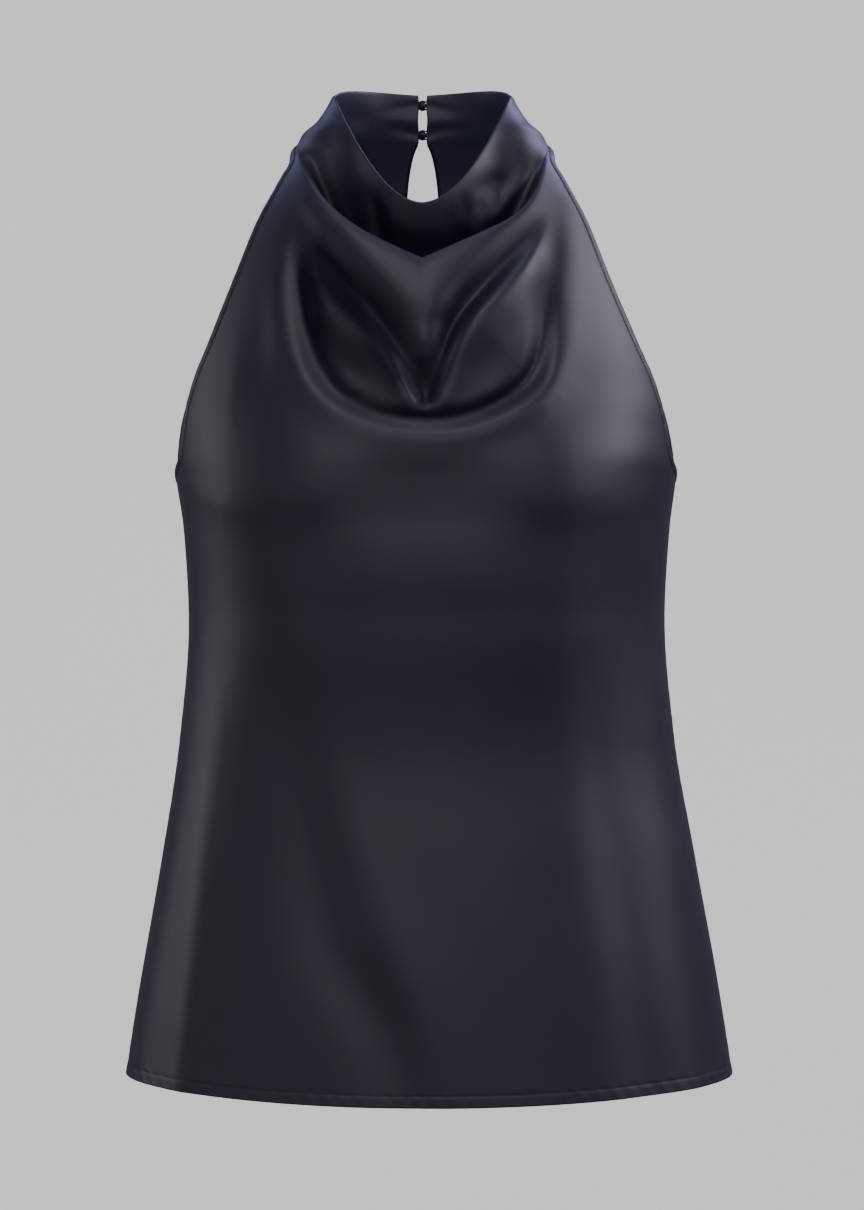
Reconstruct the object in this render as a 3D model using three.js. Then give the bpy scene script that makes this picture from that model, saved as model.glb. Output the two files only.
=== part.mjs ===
// A sleeveless satin top with a high cowl neck, hollow and filled out as it is when worn.
// Millimetres, +Z up, the front faces -Y. The origin is the middle of the neck, level with the shoulder tips.
import * as THREE from "three";
import { mergeVertices } from "three/addons/utils/BufferGeometryUtils.js";

// Driving dimensions
const wall = 1.2; // thickness of the cloth walls
const seamGap = 0.4; // clear gap between two pieces that are sewn together
const squareness = 2.3; // power of the oval cross-sections: 2 is an ellipse, more is squarer
const shoulderTip = 0; // height of the outer end of the shoulder seam
const underarm = -228; // height of the bottom of each armhole
const hemSide = -627; // height of the hem at the side seams
const hemCentre = -637; // height of the hem at the centre of the front and of the back
const collarSeam = 10; // height of the seam between the neck band and the back panel
const collarTopCentre = 43.5; // height of the neck band at the centre back
const collarEndHalf = 2.95; // half the gap between the two ends of the neck band
const keyholeLength = 100;
const keyholeTopHalf = 4; // half the width of the keyhole where it starts, at the neck band
const keyholeFullness = 560; // mm2, how far the keyhole's sides swell out below that
const bindingWidth = 4.3;
const bindingThickness = 1.8;
const buttonRadius = 2.4;
const loopCordRadius = 0.6;
const buttonGap = 0.3; // clear gap between a button or a loop and what it rests on
const collarRise = 1.5; // how much the neck band's top swells between the centre and the side of the neck
const collarFall = 9.5; // how much lower the band's top is at the side of the neck
const buttonHeights = { button_top: 36.4, button_lower: 16.2 }; // of the middles of the two buttons

const satin = { color: 0x1c1c29, roughness: 0.42, metalness: 0 };
const frontColumns = 24; // grid cells across the front panel
const backColumns = 10; // grid cells across each half of the back panel
const collarColumns = 10;
const collarRows = 4;

// Turns rows of bare values into objects with named columns.
const table = (columns, rows) =>
  rows.map((row) => Object.fromEntries(columns.map((name, i) => [name, row[i]])));

// The form the top hangs on, from the neck down. half is half the width, front and back are the depths each
// side of the middle plane, side is where the widest point lies, towards the back, and lean is how far the
// section is shifted to the right.
// frontCut and backCut are the half widths to which the two panels reach.
const form = table(
  ["z", "half", "front", "back", "side", "lean", "frontCut", "backCut"],
  [
    [47, 57, 38, 61, 0, 0, 57, 57],
    [36, 60, 44, 62, 0, 0, 60, 60],
    [16, 72, 57, 66, 0, 0, 72, 72],
    [8, 82, 63, 69, 0, 0, 82, 82],
    [0, 87, 69, 73, 0, 0, 87, 87],
    [-12, 96, 77, 79, 0, 0, 87.5, 87],
    [-27, 108, 85, 84, -1, 0, 93.5, 91],
    [-55, 126, 95, 91, -2, 0, 106.5, 101],
    [-96, 145, 106, 98, -4, 0, 122.5, 119],
    [-136, 159, 113, 101, -6, 0.5, 139, 141],
    [-162, 165.5, 116, 101, -7, 1, 150.5, 156],
    [-187, 169, 119, 100, -8, 1.5, 158, 164.5],
    [-213, 170, 121, 97, -8, 2.3, 162.5, 168],
    [-228, 168.5, 120, 95, -8, 2.6, 168.5, 168.5],
    [-262, 164, 115, 91, -8, 3, 164, 164],
    [-321, 161, 106, 87, -7, 2.8, 161, 161],
    [-400, 167, 107, 92, -6, 3, 167, 167],
    [-480, 180, 112, 100, -5, 4, 180, 180],
    [-560, 195, 117, 108, -4, 4.5, 195, 195],
    [-640, 208, 121, 114, -4, 4.7, 208, 208],
  ],
);

// Rows of the front panel, from the neckline to the hem. centre and edge are heights, straight is the share
// of the rise that is a straight slope, and the bows are the powers of the rest. push moves the middle of the
// row towards the back and tuck moves it down. folded is how much of the fold table applies, and steps
// divides the way to the next row.
const frontRows = table(
  ["steps", "centre", "edge", "straight", "bowLeft", "bowRight", "push", "tuck", "folded"],
  [
    [3, -46.5, 34, 0.05, 2, 2, 19, 0, 0], // neckline
    [3, -66, 22, 0.2, 2.5, 3, 27, -6, 0], // hanging into the pocket behind the first fold
    [2, -77, 10, 0.4, 3.2, 5, 23, -25, 0], // bottom of the pocket
    [2, -81, 4, 0.45, 3.6, 6, 8, -13, 0], // back of the first fold
    [2, -84.7, shoulderTip, 0.47, 4, 8, -1, 0, 0.1], // top of the first fold
    [4, -90, -5, 0.45, 4, 8, -6, -2, 0.4], // front of the first fold
    [7, -118, -20, 0.4, 4, 5, -6, 0, 1],
    [6, -164, -48, 0.25, 4, 4, -2, 0, 1],
    [4, -200, -84, 0.15, 4, 4, 0, 0, 1], // edge of the second cowl fold
    [3, -230, -146, 0.1, 3, 3, 0, 0, 1],
    [2, -248, -192, 0.05, 3, 3, 0, 0, 1],
    [2, -258, -216, 0, 3, 3, 0, 0, 1],
    [1, -263, -226, 0, 3, 3, 0, 0, 1],
    [3, -266, underarm, 0, 3, 3, 0, 0, 1],
    [2, -330, -311, 0, 2.5, 2.5, 0, 0, 1],
    [2, -412, -402, 0, 2, 2, 0, 0, 1],
    [2, -500, -490, 0, 2, 2, 0, 0, 1],
    [0, hemCentre, hemSide, 0, 2, 2, 0, 0, 1],
  ],
);

// Heights of the rows of the back panel at its sides.
const backHeights = [
  collarSeam, 5, shoulderTip, -3, -8, -16, -27, -41, -55, -69, -80, -86, -90, -105, -128, -152, -176, -198,
  -214, -224, underarm, -250, -284, -321, -362, -402, -446, -490, -536, -582, hemSide,
];

// Creases and swells of the front. Each follows a smooth line across the front through its points, given as
// sideways distance and height. depth is how far it sinks in, or stands out where negative, and above and
// below are its widths on either side of the line.
const folds = {
  valleyUnderFirstFold: {
    depth: 9,
    above: 20,
    below: 11,
    line: [[-83, -50], [-58, -92], [-16, -130], [0, -176], [12, -135], [34, -97], [64, -73], [83, -46]],
  },
  valleyAboveSecondFold: {
    depth: 9,
    above: 13,
    below: 7,
    line: [
      [-86, -60], [-80, -94], [-63, -150], [-34, -183], [0, -189],
      [40, -182], [70, -152], [88, -85], [91, -50],
    ],
  },
  swellOfSecondFold: {
    depth: -5,
    above: 8,
    below: 22,
    line: [
      [-96, -80], [-80, -130], [-56, -180], [-28, -195], [0, -201],
      [44, -194], [78, -170], [98, -110], [101, -60],
    ],
  },
  leftSideFold: { depth: -4, above: 14, below: 14, line: [[-136, -370], [-150, -470], [-168, -700]] },
  leftHollow: { depth: 4, above: 20, below: 20, line: [[-100, -330], [-84, -470], [-36, -660], [-20, -760]] },
  rightSideFold: { depth: -4, above: 14, below: 14, line: [[148, -370], [156, -470], [176, -700]] },
};

// The fullness over the bust.
const bust = { x: 88, z: -208, height: 6, width: 58 };

// How a loop leaves the neck band on its way to its button: sideways distances and heights from the button.
const loopShank = [[9, 1.9], [6, 2], [3.6, 2.7]];

// A monotone cubic through the points (x, y), so that a table can be read at any height.
function smoothThrough(xs, ys) {
  const slopes = xs.slice(1).map((x, i) => (ys[i + 1] - ys[i]) / (x - xs[i]));
  const tangents = xs.map((_, i) => {
    if (i === 0) return slopes[0];
    if (i === slopes.length) return slopes[i - 1];
    const product = slopes[i - 1] * slopes[i];
    return product <= 0 ? 0 : (2 * product) / (slopes[i - 1] + slopes[i]);
  });
  return (x) => {
    const last = slopes.length - 1;
    const found = xs.findIndex((edge, k) => k > 0 && (x - edge) * (x - xs[k - 1]) <= 0);
    const i = found > 0 ? found - 1 : Math.abs(x - xs[0]) < Math.abs(x - xs[last + 1]) ? 0 : last;
    const span = xs[i + 1] - xs[i];
    const t = THREE.MathUtils.clamp((x - xs[i]) / span, 0, 1);
    const rise = ys[i] * (1 - t) ** 2 * (1 + 2 * t) + ys[i + 1] * t ** 2 * (3 - 2 * t);
    return rise + span * (tangents[i] * t * (1 - t) ** 2 - tangents[i + 1] * t ** 2 * (1 - t));
  };
}

const shapeOf = (name) => smoothThrough(form.map((row) => row.z), form.map((row) => row[name]));
const half = shapeOf("half");
const front = shapeOf("front");
const back = shapeOf("back");
const side = shapeOf("side");
const lean = shapeOf("lean");
const frontCut = shapeOf("frontCut");
const backCut = shapeOf("backCut");

// How far round the oval lies at a share of its half width: 1 at the centre, 0 at the sides.
const roundness = (share) => (1 - Math.min(Math.abs(share), 1) ** squareness) ** (1 / squareness);

// Points of the form at a sideways distance and a height.
function frontPoint(x, z, push = 0) {
  const y = side(z) - (front(z) + side(z)) * roundness(x / half(z)) + push - seamGap / 2;
  return new THREE.Vector3(x + lean(z), y, z);
}

function backPoint(x, z) {
  const y = side(z) + (back(z) - side(z)) * roundness(x / half(z)) + seamGap / 2;
  return new THREE.Vector3(x + lean(z), y, z);
}

// The form's outward direction at a point, from the slope of its oval equation.
function formNormal(point) {
  const oval = (x, y, z) => {
    const across = y - side(z);
    const depth = across < 0 ? front(z) + side(z) : back(z) - side(z);
    return Math.abs((x - lean(z)) / half(z)) ** squareness + Math.abs(across / depth) ** squareness;
  };
  const step = 0.5;
  const { x, y, z } = point;
  return new THREE.Vector3(
    oval(x + step, y, z) - oval(x - step, y, z),
    oval(x, y + step, z) - oval(x, y - step, z),
    oval(x, y, z + step) - oval(x, y, z - step),
  ).normalize();
}

// Smooth lines of the folds as short straight pieces.
const foldLines = Object.values(folds).map((fold) => ({
  ...fold,
  points: new THREE.SplineCurve(fold.line.map(([x, z]) => new THREE.Vector2(x, z))).getPoints(48),
}));

// The push of one fold: a bell across its line, with a width for each side, that dies out at both ends.
function foldPush(fold, x, z) {
  const { points } = fold;
  const place = new THREE.Vector2(x, z);
  let best = { distance: Infinity };
  for (let i = 0; i + 1 < points.length; i++) {
    const along = points[i + 1].clone().sub(points[i]);
    const offset = place.clone().sub(points[i]);
    const share = THREE.MathUtils.clamp(offset.dot(along) / along.lengthSq(), 0, 1);
    const distance = offset.distanceTo(along.clone().multiplyScalar(share));
    if (distance < best.distance) best = { distance, above: along.cross(offset) > 0, at: i + share };
  }
  const run = best.at / (points.length - 1);
  const ends = THREE.MathUtils.smoothstep(run, 0, 0.2) * THREE.MathUtils.smoothstep(1 - run, 0, 0.2);
  return fold.depth * ends * Math.exp(-((best.distance / (best.above ? fold.above : fold.below)) ** 2));
}

function bustPush(x, z) {
  const across = (Math.abs(x) - bust.x) / bust.width;
  const up = (z - bust.z) / bust.width;
  return -bust.height * Math.exp(-(across ** 2) - up ** 2);
}

// The front panel's grid of points, row by row from the neckline to the hem.
function frontGrid() {
  const places = frontRows.map((_, i) => frontRows.slice(0, i).reduce((sum, row) => sum + row.steps, 0));
  const read = (name) => smoothThrough(places, frontRows.map((row) => row[name]));
  const columns = ["centre", "edge", "straight", "bowLeft", "bowRight", "push", "tuck", "folded"];
  const readers = Object.fromEntries(columns.map((name) => [name, read(name)]));
  return Array.from({ length: places.at(-1) + 1 }, (_, place) => {
    const row = Object.fromEntries(columns.map((name) => [name, readers[name](place)]));
    const reach = frontCut(row.edge);
    const turn = Math.asin(Math.min(reach / half(row.edge), 1));
    return Array.from({ length: frontColumns + 1 }, (_, column) => {
      const share = Math.sin((2 * column / frontColumns - 1) * turn) / Math.sin(turn);
      const far = Math.abs(share);
      const rise = row.straight * far + (1 - row.straight) * far ** (share < 0 ? row.bowLeft : row.bowRight);
      const z = row.centre + (row.edge - row.centre) * rise + row.tuck * (1 - far ** 2) ** 2;
      const x = share * reach;
      const folding = foldLines.reduce((sum, fold) => sum + foldPush(fold, x, z), bustPush(x, z));
      return frontPoint(x, z, (row.push + row.folded * folding) * (1 - far ** 6) ** 2);
    });
  });
}

// Half the width of the keyhole at a height.
function keyholeHalf(z) {
  const down = (collarSeam - z) / keyholeLength;
  return down < 1 ? Math.sqrt((1 - down) * (keyholeTopHalf ** 2 + keyholeFullness * down)) : 0;
}

// One half of the back panel, from the keyhole or the centre line out to the side.
function backGrid(direction) {
  return backHeights.map((edge) => {
    const height = edge === collarSeam ? edge - seamGap / 2 : edge;
    const reach = backCut(height);
    const turn = Math.asin(Math.min(reach / half(height), 1));
    const inner = keyholeHalf(height);
    const sag = THREE.MathUtils.smoothstep(-height, -underarm, -hemSide) * (hemCentre - hemSide);
    return Array.from({ length: backColumns + 1 }, (_, column) => {
      const share = Math.sin((column / backColumns) * turn) / Math.sin(turn);
      const x = inner + (reach - inner) * share;
      return backPoint(direction * x, height + sag * (1 - share ** 2));
    });
  });
}

// One half of the neck band, from the centre back round to the side of the neck.
function collarGrid(direction) {
  return Array.from({ length: collarRows + 1 }, (_, row) =>
    Array.from({ length: collarColumns + 1 }, (_, column) => {
      const turn = column / collarColumns;
      const top = collarTopCentre + collarRise * Math.sin(Math.PI * turn) - collarFall * turn ** 4;
      const bottom = collarSeam + seamGap / 2;
      const z = top + (bottom - top) * (row / collarRows);
      const x = collarEndHalf + (half(z) - collarEndHalf) * Math.sin((turn * Math.PI) / 2);
      return backPoint(direction * x, z);
    }),
  );
}

// Triangles of a grid of points.
function gridTriangles(grid, flip) {
  const triangles = [];
  for (let i = 0; i + 1 < grid.length; i++) {
    for (let j = 0; j + 1 < grid[i].length; j++) {
      const [a, b, c, d] = [grid[i][j], grid[i][j + 1], grid[i + 1][j + 1], grid[i + 1][j]];
      const pair = [[a, d, c], [a, c, b]];
      pair.forEach((corners) => triangles.push(flip ? corners.toReversed() : corners));
    }
  }
  return triangles;
}

// A geometry of loose triangles, with corners that lie together made one.
function mergedGeometry(triangles) {
  const flat = new THREE.BufferGeometry().setFromPoints(triangles.flat());
  return mergeVertices(flat, 1e-3);
}

// Gives a sheet a wall: half of it on each side, with walls round every open edge. The rims stand square to
// the form, so that the pieces meet face to face at the seams.
function thicken(triangles) {
  const sheet = mergedGeometry(triangles);
  sheet.computeVertexNormals();
  const vectors = (attribute) =>
    Array.from({ length: attribute.count }, (_, i) => new THREE.Vector3().fromBufferAttribute(attribute, i));
  const points = vectors(sheet.attributes.position);
  const outward = vectors(sheet.attributes.normal);
  const indices = sheet.index.array;
  const faces = Array.from({ length: indices.length / 3 }, (_, i) => [...indices.slice(3 * i, 3 * i + 3)]);
  const edges = new Map();
  faces.forEach(([a, b, c]) => [[a, b], [b, c], [c, a]].forEach(([p, q]) => edges.set(`${p},${q}`, [p, q])));
  const rim = [...edges.values()].filter(([p, q]) => !edges.has(`${q},${p}`));
  rim.flat().forEach((i) => outward[i].copy(formNormal(points[i])));
  const corner = (i, offset) => points[i].clone().addScaledVector(outward[i], offset);
  const solid = faces.flatMap((face) => [
    face.map((i) => corner(i, wall / 2)),
    face.toReversed().map((i) => corner(i, -wall / 2)),
  ]);
  rim.forEach(([p, q]) => {
    const [outP, outQ] = [corner(p, wall / 2), corner(q, wall / 2)];
    const [inP, inQ] = [corner(p, -wall / 2), corner(q, -wall / 2)];
    solid.push([outP, inP, inQ], [outP, inQ, outQ]);
  });
  return mergedGeometry(solid);
}

// A closed ring of cloth that runs just off the edges of the two panels, round one armhole.
function bindingGeometry(edge) {
  const middle = edge.reduce((sum, point) => sum.add(point), new THREE.Vector3()).divideScalar(edge.length);
  const rings = edge.map((point, i) => {
    const next = edge[(i + 1) % edge.length];
    const before = edge[(i + edge.length - 1) % edge.length];
    const along = next.clone().sub(before).normalize();
    const outward = formNormal(point);
    const inward = along.clone().cross(outward).normalize();
    if (inward.dot(middle.clone().sub(point)) < 0) inward.negate();
    const at = (reach, lift) => point.clone().addScaledVector(inward, reach).addScaledVector(outward, lift);
    const near = seamGap;
    const far = near + bindingWidth;
    const lift = bindingThickness / 2;
    return [at(near, lift), at(far, lift), at(far, -lift), at(near, -lift)];
  });
  const closed = [...rings, rings[0]].map((ring) => [...ring, ring[0]]);
  return mergedGeometry(gridTriangles(closed, false));
}

// The signed volume of a closed geometry, negative where its faces point inwards.
function signedVolume(geometry) {
  const { position } = geometry.attributes;
  const at = (i) => new THREE.Vector3().fromBufferAttribute(position, geometry.index.array[i]);
  let volume = 0;
  for (let i = 0; i < geometry.index.count; i += 3) volume += at(i).dot(at(i + 1).cross(at(i + 2))) / 6;
  return volume;
}

function facingOut(geometry) {
  if (signedVolume(geometry) < 0) {
    const indices = geometry.index.array;
    for (let i = 0; i < indices.length; i += 3) [indices[i], indices[i + 1]] = [indices[i + 1], indices[i]];
  }
  return geometry;
}

// A point off the neck band where a cord would lie on it, at a sideways distance and a height.
function offBand(x, z) {
  const point = backPoint(x, z);
  return point.addScaledVector(formNormal(point), wall / 2 + buttonGap + loopCordRadius);
}

// A round loop of cord that starts and ends on the right half of the neck band and goes round the button
// whose middle is at height z.
function loopGeometry(z) {
  const around = buttonRadius + buttonGap + loopCordRadius;
  const arc = Array.from({ length: 9 }, (_, i) => {
    const angle = THREE.MathUtils.degToRad(60 + i * 30);
    return [around * Math.cos(angle), around * Math.sin(angle)];
  });
  const route = [...loopShank, ...arc, ...loopShank.toReversed().map(([x, up]) => [x, -up])];
  const path = new THREE.CatmullRomCurve3(route.map(([x, up]) => offBand(x, z + up)));
  const section = new THREE.Shape().absarc(0, 0, loopCordRadius, 0, 2 * Math.PI);
  return new THREE.ExtrudeGeometry(section, { steps: 26, curveSegments: 3, extrudePath: path });
}

function cleaned(geometry) {
  geometry.deleteAttribute("normal");
  geometry.deleteAttribute("uv");
  return mergeVertices(geometry, 1e-4);
}

const top = new THREE.Group();

function addPiece(name, geometry) {
  geometry.computeVertexNormals();
  const mesh = new THREE.Mesh(geometry, new THREE.MeshStandardMaterial(satin));
  mesh.name = name;
  top.add(mesh);
  return mesh;
}

const frontPanel = frontGrid();
addPiece("front_panel", thicken(gridTriangles(frontPanel, false)));

const backHalves = { left: backGrid(-1), right: backGrid(1) };
addPiece(
  "back_panel",
  thicken([...gridTriangles(backHalves.left, false), ...gridTriangles(backHalves.right, true)]),
);

addPiece("back_collar_left", thicken(gridTriangles(collarGrid(-1), false)));
addPiece("back_collar_right", thicken(gridTriangles(collarGrid(1), true)));

// The stretch of a panel's side edge that borders the armhole, from the shoulder tip to the underarm.
const armholeEdge = (points) =>
  points.filter((point) => point.z < shoulderTip + 0.01 && point.z > underarm - 0.01);

const frontEdges = {
  left: armholeEdge(frontPanel.map((row) => row[0])),
  right: armholeEdge(frontPanel.map((row) => row.at(-1))),
};
for (const name of ["left", "right"]) {
  const backEdge = armholeEdge(backHalves[name].map((row) => row.at(-1)));
  const loop = [...frontEdges[name], ...backEdge.toReversed()];
  addPiece(`armhole_binding_${name}`, facingOut(bindingGeometry(loop)));
}

for (const [name, z] of Object.entries(buttonHeights)) {
  const ball = cleaned(new THREE.SphereGeometry(buttonRadius, 12, 8));
  addPiece(name, ball).position.copy(offBand(0, z));
  addPiece(name.replace("button", "loop"), facingOut(cleaned(loopGeometry(z))));
}

export default top;
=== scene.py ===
import math
import bpy
import numpy as np
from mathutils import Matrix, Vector


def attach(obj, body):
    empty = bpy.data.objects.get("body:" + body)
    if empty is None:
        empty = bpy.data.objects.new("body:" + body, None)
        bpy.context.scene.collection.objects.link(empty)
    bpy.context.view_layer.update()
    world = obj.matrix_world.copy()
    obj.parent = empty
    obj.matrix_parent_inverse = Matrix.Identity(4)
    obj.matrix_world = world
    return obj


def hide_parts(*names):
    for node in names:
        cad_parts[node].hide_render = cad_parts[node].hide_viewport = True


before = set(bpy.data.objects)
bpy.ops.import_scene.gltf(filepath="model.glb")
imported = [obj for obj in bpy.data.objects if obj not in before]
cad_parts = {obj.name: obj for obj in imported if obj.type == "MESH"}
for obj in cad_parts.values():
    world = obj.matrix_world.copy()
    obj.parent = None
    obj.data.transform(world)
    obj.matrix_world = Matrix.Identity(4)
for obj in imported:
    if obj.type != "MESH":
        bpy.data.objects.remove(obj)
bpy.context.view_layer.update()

# Shapes are worked out in millimetres, with +Z up and the front facing -Y, and become metres in makeMesh.

camera = {"place": (0.0065, -2.6, -0.311), "lens": 113.8}
cameraData = bpy.data.cameras.new("camera")
cameraData.lens = camera["lens"]
cameraObject = bpy.data.objects.new("camera", cameraData)
cameraObject.location = camera["place"]
cameraObject.rotation_euler = (math.radians(90), 0, 0)
bpy.context.scene.collection.objects.link(cameraObject)
bpy.context.scene.camera = cameraObject

# place and size in metres, power in watts
lights = {
    "right softbox": {"place": (2.1, -0.15, 0.95), "size": (1.4, 1.3), "power": 37, "colour": (0.97, 0.9, 1)},
    "front top": {"place": (-0.4, -2.1, 1.7), "size": (1.1, 0.9), "power": 15, "colour": (0.98, 0.95, 1)},
    "front left": {"place": (-1.6, -1.9, -0.5), "size": (1.4, 1.4), "power": 3, "colour": (0.98, 0.9, 1)},
    "front right": {"place": (2.0, -1.3, 0.3), "size": (1.0, 1.0), "power": 8, "colour": (0.98, 0.9, 1)},
    "left softbox": {"place": (-2.3, 0.2, 0.1), "size": (1.2, 1.4), "power": 11, "colour": (1, 0.93, 0.98)},
    "front": {"place": (0.05, -2.8, 0.22), "size": (1.8, 1.0), "power": 12, "colour": (0.98, 0.9, 1)},
    "right rim": {"place": (1.3, 1.3, 1.3), "size": (1.0, 1.0), "power": 17, "colour": (0.62, 0.62, 1)},
    "left rim": {"place": (-1.3, 1.3, 1.3), "size": (1.0, 1.0), "power": 6, "colour": (0.5, 0.55, 1)},
    "overhead": {"place": (0, 0.05, 1.4), "size": (0.9, 0.7), "power": 2.0, "colour": (0.5, 0.52, 1)},
    "neck": {"place": (-0.1, -0.25, 0.8), "size": (0.5, 0.4), "power": 0.7, "colour": (0.8, 0.8, 1)},
}
lightAim = Vector((0, 0, -0.3))
for name, light in lights.items():
    lightData = bpy.data.lights.new(name, "AREA")
    lightData.shape = "RECTANGLE"
    lightData.size, lightData.size_y = light["size"]
    lightData.energy = light["power"]
    lightData.color = light["colour"]
    lamp = bpy.data.objects.new(name, lightData)
    lamp.location = light["place"]
    lamp.rotation_euler = (lightAim - lamp.location).to_track_quat("-Z", "Y").to_euler()
    lamp.visible_camera = False
    bpy.context.scene.collection.objects.link(lamp)

worldLight = {"colour": (0.86, 0.81, 1, 1), "strength": 0.1}
world = bpy.data.worlds.new("studio")
world.use_nodes = True
world.node_tree.nodes["Background"].inputs["Color"].default_value = worldLight["colour"]
world.node_tree.nodes["Background"].inputs["Strength"].default_value = worldLight["strength"]
bpy.context.scene.world = world
print("camera and lights ready")


# ---- shader tools

# One output of a node, which can be used in sums: each operator adds a Math node.
class Signal:
    def __init__(self, shader, socket):
        self.shader, self.socket = shader, socket

    def math(self, operation, first, second):
        return self.shader.node("ShaderNodeMath", {"operation": operation}, {0: first, 1: second})

    def __add__(self, other):
        return self.math("ADD", self, other)

    def __radd__(self, other):
        return self.math("ADD", other, self)

    def __sub__(self, other):
        return self.math("SUBTRACT", self, other)

    def __mul__(self, other):
        return self.math("MULTIPLY", self, other)


# A material with its nodes. Sockets are given by name or by number.
class Shader:
    def __init__(self, name):
        self.material = bpy.data.materials.new(name)
        self.material.use_nodes = True
        self.tree = self.material.node_tree
        self.surface = self.tree.nodes["Principled BSDF"]

    def put(self, socket, value):
        if isinstance(value, Signal):
            self.tree.links.new(value.socket, socket)
        elif hasattr(value, "__len__") and socket.type == "RGBA":
            socket.default_value = (*value, 1)
        else:
            socket.default_value = value

    # The settings come first, then the values or links of the sockets.
    def node(self, kind, settings, inputs, output=0):
        node = self.tree.nodes.new(kind)
        for key, value in settings.items():
            setattr(node, key, value)
        for key, value in inputs.items():
            self.put(node.inputs[key], value)
        return Signal(self, node.outputs[output])

    def finish(self, **inputs):
        for key, value in inputs.items():
            self.put(self.surface.inputs[key.replace("_", " ")], value)
        return self.material

    # Painted shade: covers the surface with a dull dark one by a share of 0 to 1, to darken creases and other
    # places that should look shaded.
    def shade(self, share, colour):
        dull = self.node("ShaderNodeBsdfPrincipled", {},
                         {"Base Color": colour, "Roughness": 0.8, "Specular IOR Level": 0.05})
        satiny = Signal(self, self.surface.outputs[0])
        both = self.node("ShaderNodeMixShader", {}, {0: share, 1: satiny, 2: dull})
        self.tree.links.new(both.socket, self.tree.nodes["Material Output"].inputs["Surface"])

    # The cloth's own map, in metres across and along it, stretched by a scale each way.
    def clothPlace(self, across, along):
        uv = self.node("ShaderNodeUVMap", {"uv_map": "cloth"}, {})
        return self.node("ShaderNodeVectorMath", {"operation": "MULTIPLY"}, {0: uv, 1: (across, along, 1)})

    def noise(self, place, scale, detail=2):
        return self.node("ShaderNodeTexNoise", {},
                         {"Vector": place, "Scale": scale, "Detail": detail, "Roughness": 0.5})

    def ramp(self, value, low, high):
        return self.node("ShaderNodeMapRange", {"interpolation_type": "SMOOTHSTEP"},
                         {"Value": value, "From Min": low, "From Max": high})

    def mixColour(self, share, first, second):
        return self.node("ShaderNodeMix", {"data_type": "RGBA"}, {0: share, 6: first, 7: second}, output=2)

    def bump(self, height, distance, under=None):
        links = {"Height": height, "Distance": distance, "Strength": 1}
        if under:
            links["Normal"] = under
        return self.node("ShaderNodeBump", {}, links)


# Satin: a dark base, a broad soft shine that varies a little, fine floats along the warp and faint slubs.
# broadScale, floatScales, slubScales: features in a metre. floats, slubs: how far they stand out, in metres.
satin = {
    "broadScale": 14,
    "floatScales": (3200, 260),
    "slubScales": (900, 55),
    "dark": (0.0085, 0.0088, 0.0205),
    "light": (0.0115, 0.0118, 0.0245),
    "roughness": 0.47,
    "roughnessSpread": 0.06,
    "specular": 0.62,
    "floats": 0.000012,
    "slubs": 0.00003,
    "sheen": 0.06,
    # the dull dark colour of the painted shade in creases and on shaded slopes
    "paintedShadeColour": (0.005, 0.005, 0.012),
}


# finer: how much finer the weave is. glow: painted light, a faint glow of the cloth itself that lifts the
# dark inside. The last flag: whether painted shade darkens the cloth by each point's crease value.
def satinMaterial(name, settings, finer=1.0, glow=None, paintedShading=False):
    shader = Shader(name)

    def weave(scales, detail):
        return shader.noise(shader.clothPlace(scales[0] * finer, scales[1] * finer), 1, detail)

    broad = shader.noise(shader.clothPlace(1, 1), settings["broadScale"], detail=3)
    floats = weave(settings["floatScales"], 2)
    slubs = weave(settings["slubScales"], 1)
    patches = shader.ramp(broad * 0.6 + slubs * 0.4, 0.38, 0.62)
    colour = shader.mixColour(patches, settings["dark"], settings["light"])
    roughness = settings["roughness"] + (broad - 0.5) * settings["roughnessSpread"] + (slubs - 0.5) * 0.05
    relief = shader.bump(slubs, settings["slubs"], shader.bump(floats, settings["floats"]))
    # painted light: the cloth glows faintly, a little more in broad patches, though no lamp lights it
    if glow:
        brighter = tuple(c * 1.3 for c in glow)
        shader.finish(Emission_Color=shader.mixColour(broad, glow, brighter), Emission_Strength=1)
    # painted shade: a dull dark surface mixed over the satin by each point's crease value
    if paintedShading:
        crease = shader.node("ShaderNodeAttribute", {"attribute_name": "crease"}, {}, output=2)
        shader.shade(crease, settings["paintedShadeColour"])
    return shader.finish(Base_Color=colour, Roughness=roughness, Normal=relief,
                         Specular_IOR_Level=settings["specular"],
                         Sheen_Weight=settings["sheen"], Sheen_Roughness=0.4, Sheen_Tint=(0.75, 0.78, 1.0))


# Sewing thread: two plies that twist round each other along the stitch.
def threadMaterial(name):
    shader = Shader(name)
    place = shader.node("ShaderNodeTexCoord", {}, {}, output=3)
    ply = shader.node("ShaderNodeTexWave", {"bands_direction": "DIAGONAL"},
                      {"Vector": place, "Scale": 900, "Distortion": 1.5, "Detail": 1})
    fuzz = shader.noise(place, 3000)
    colour = shader.mixColour(ply, (0.008, 0.008, 0.018), (0.02, 0.021, 0.038))
    return shader.finish(Base_Color=colour, Roughness=0.5 + (fuzz - 0.5) * 0.2,
                         Normal=shader.bump(ply, 0.00005), Specular_IOR_Level=0.4)


satinCloth = satinMaterial("satin", satin, paintedShading=True)
# painted light: the reverse and the band glow faintly navy, which lifts the inside seen through the neck
satinReverse = satinMaterial("satin_reverse", {**satin, "roughness": 0.62, "specular": 0.4, "slubs": 0.00005},
                             glow=(0.0045, 0.0046, 0.0102))
satinBand = satinMaterial("satin_band", {**satin, "roughness": 0.5}, glow=(0.0035, 0.0038, 0.009))
satinBias = satinMaterial("satin_bias", {**satin, "roughness": 0.5, "slubs": 0.00005}, 1.3)
satinCovered = satinMaterial("satin_covered", {**satin, "roughness": 0.42, "slubs": 0.00006}, 1.6)
threadFinish = threadMaterial("sewing_thread")
print("materials ready")
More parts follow.
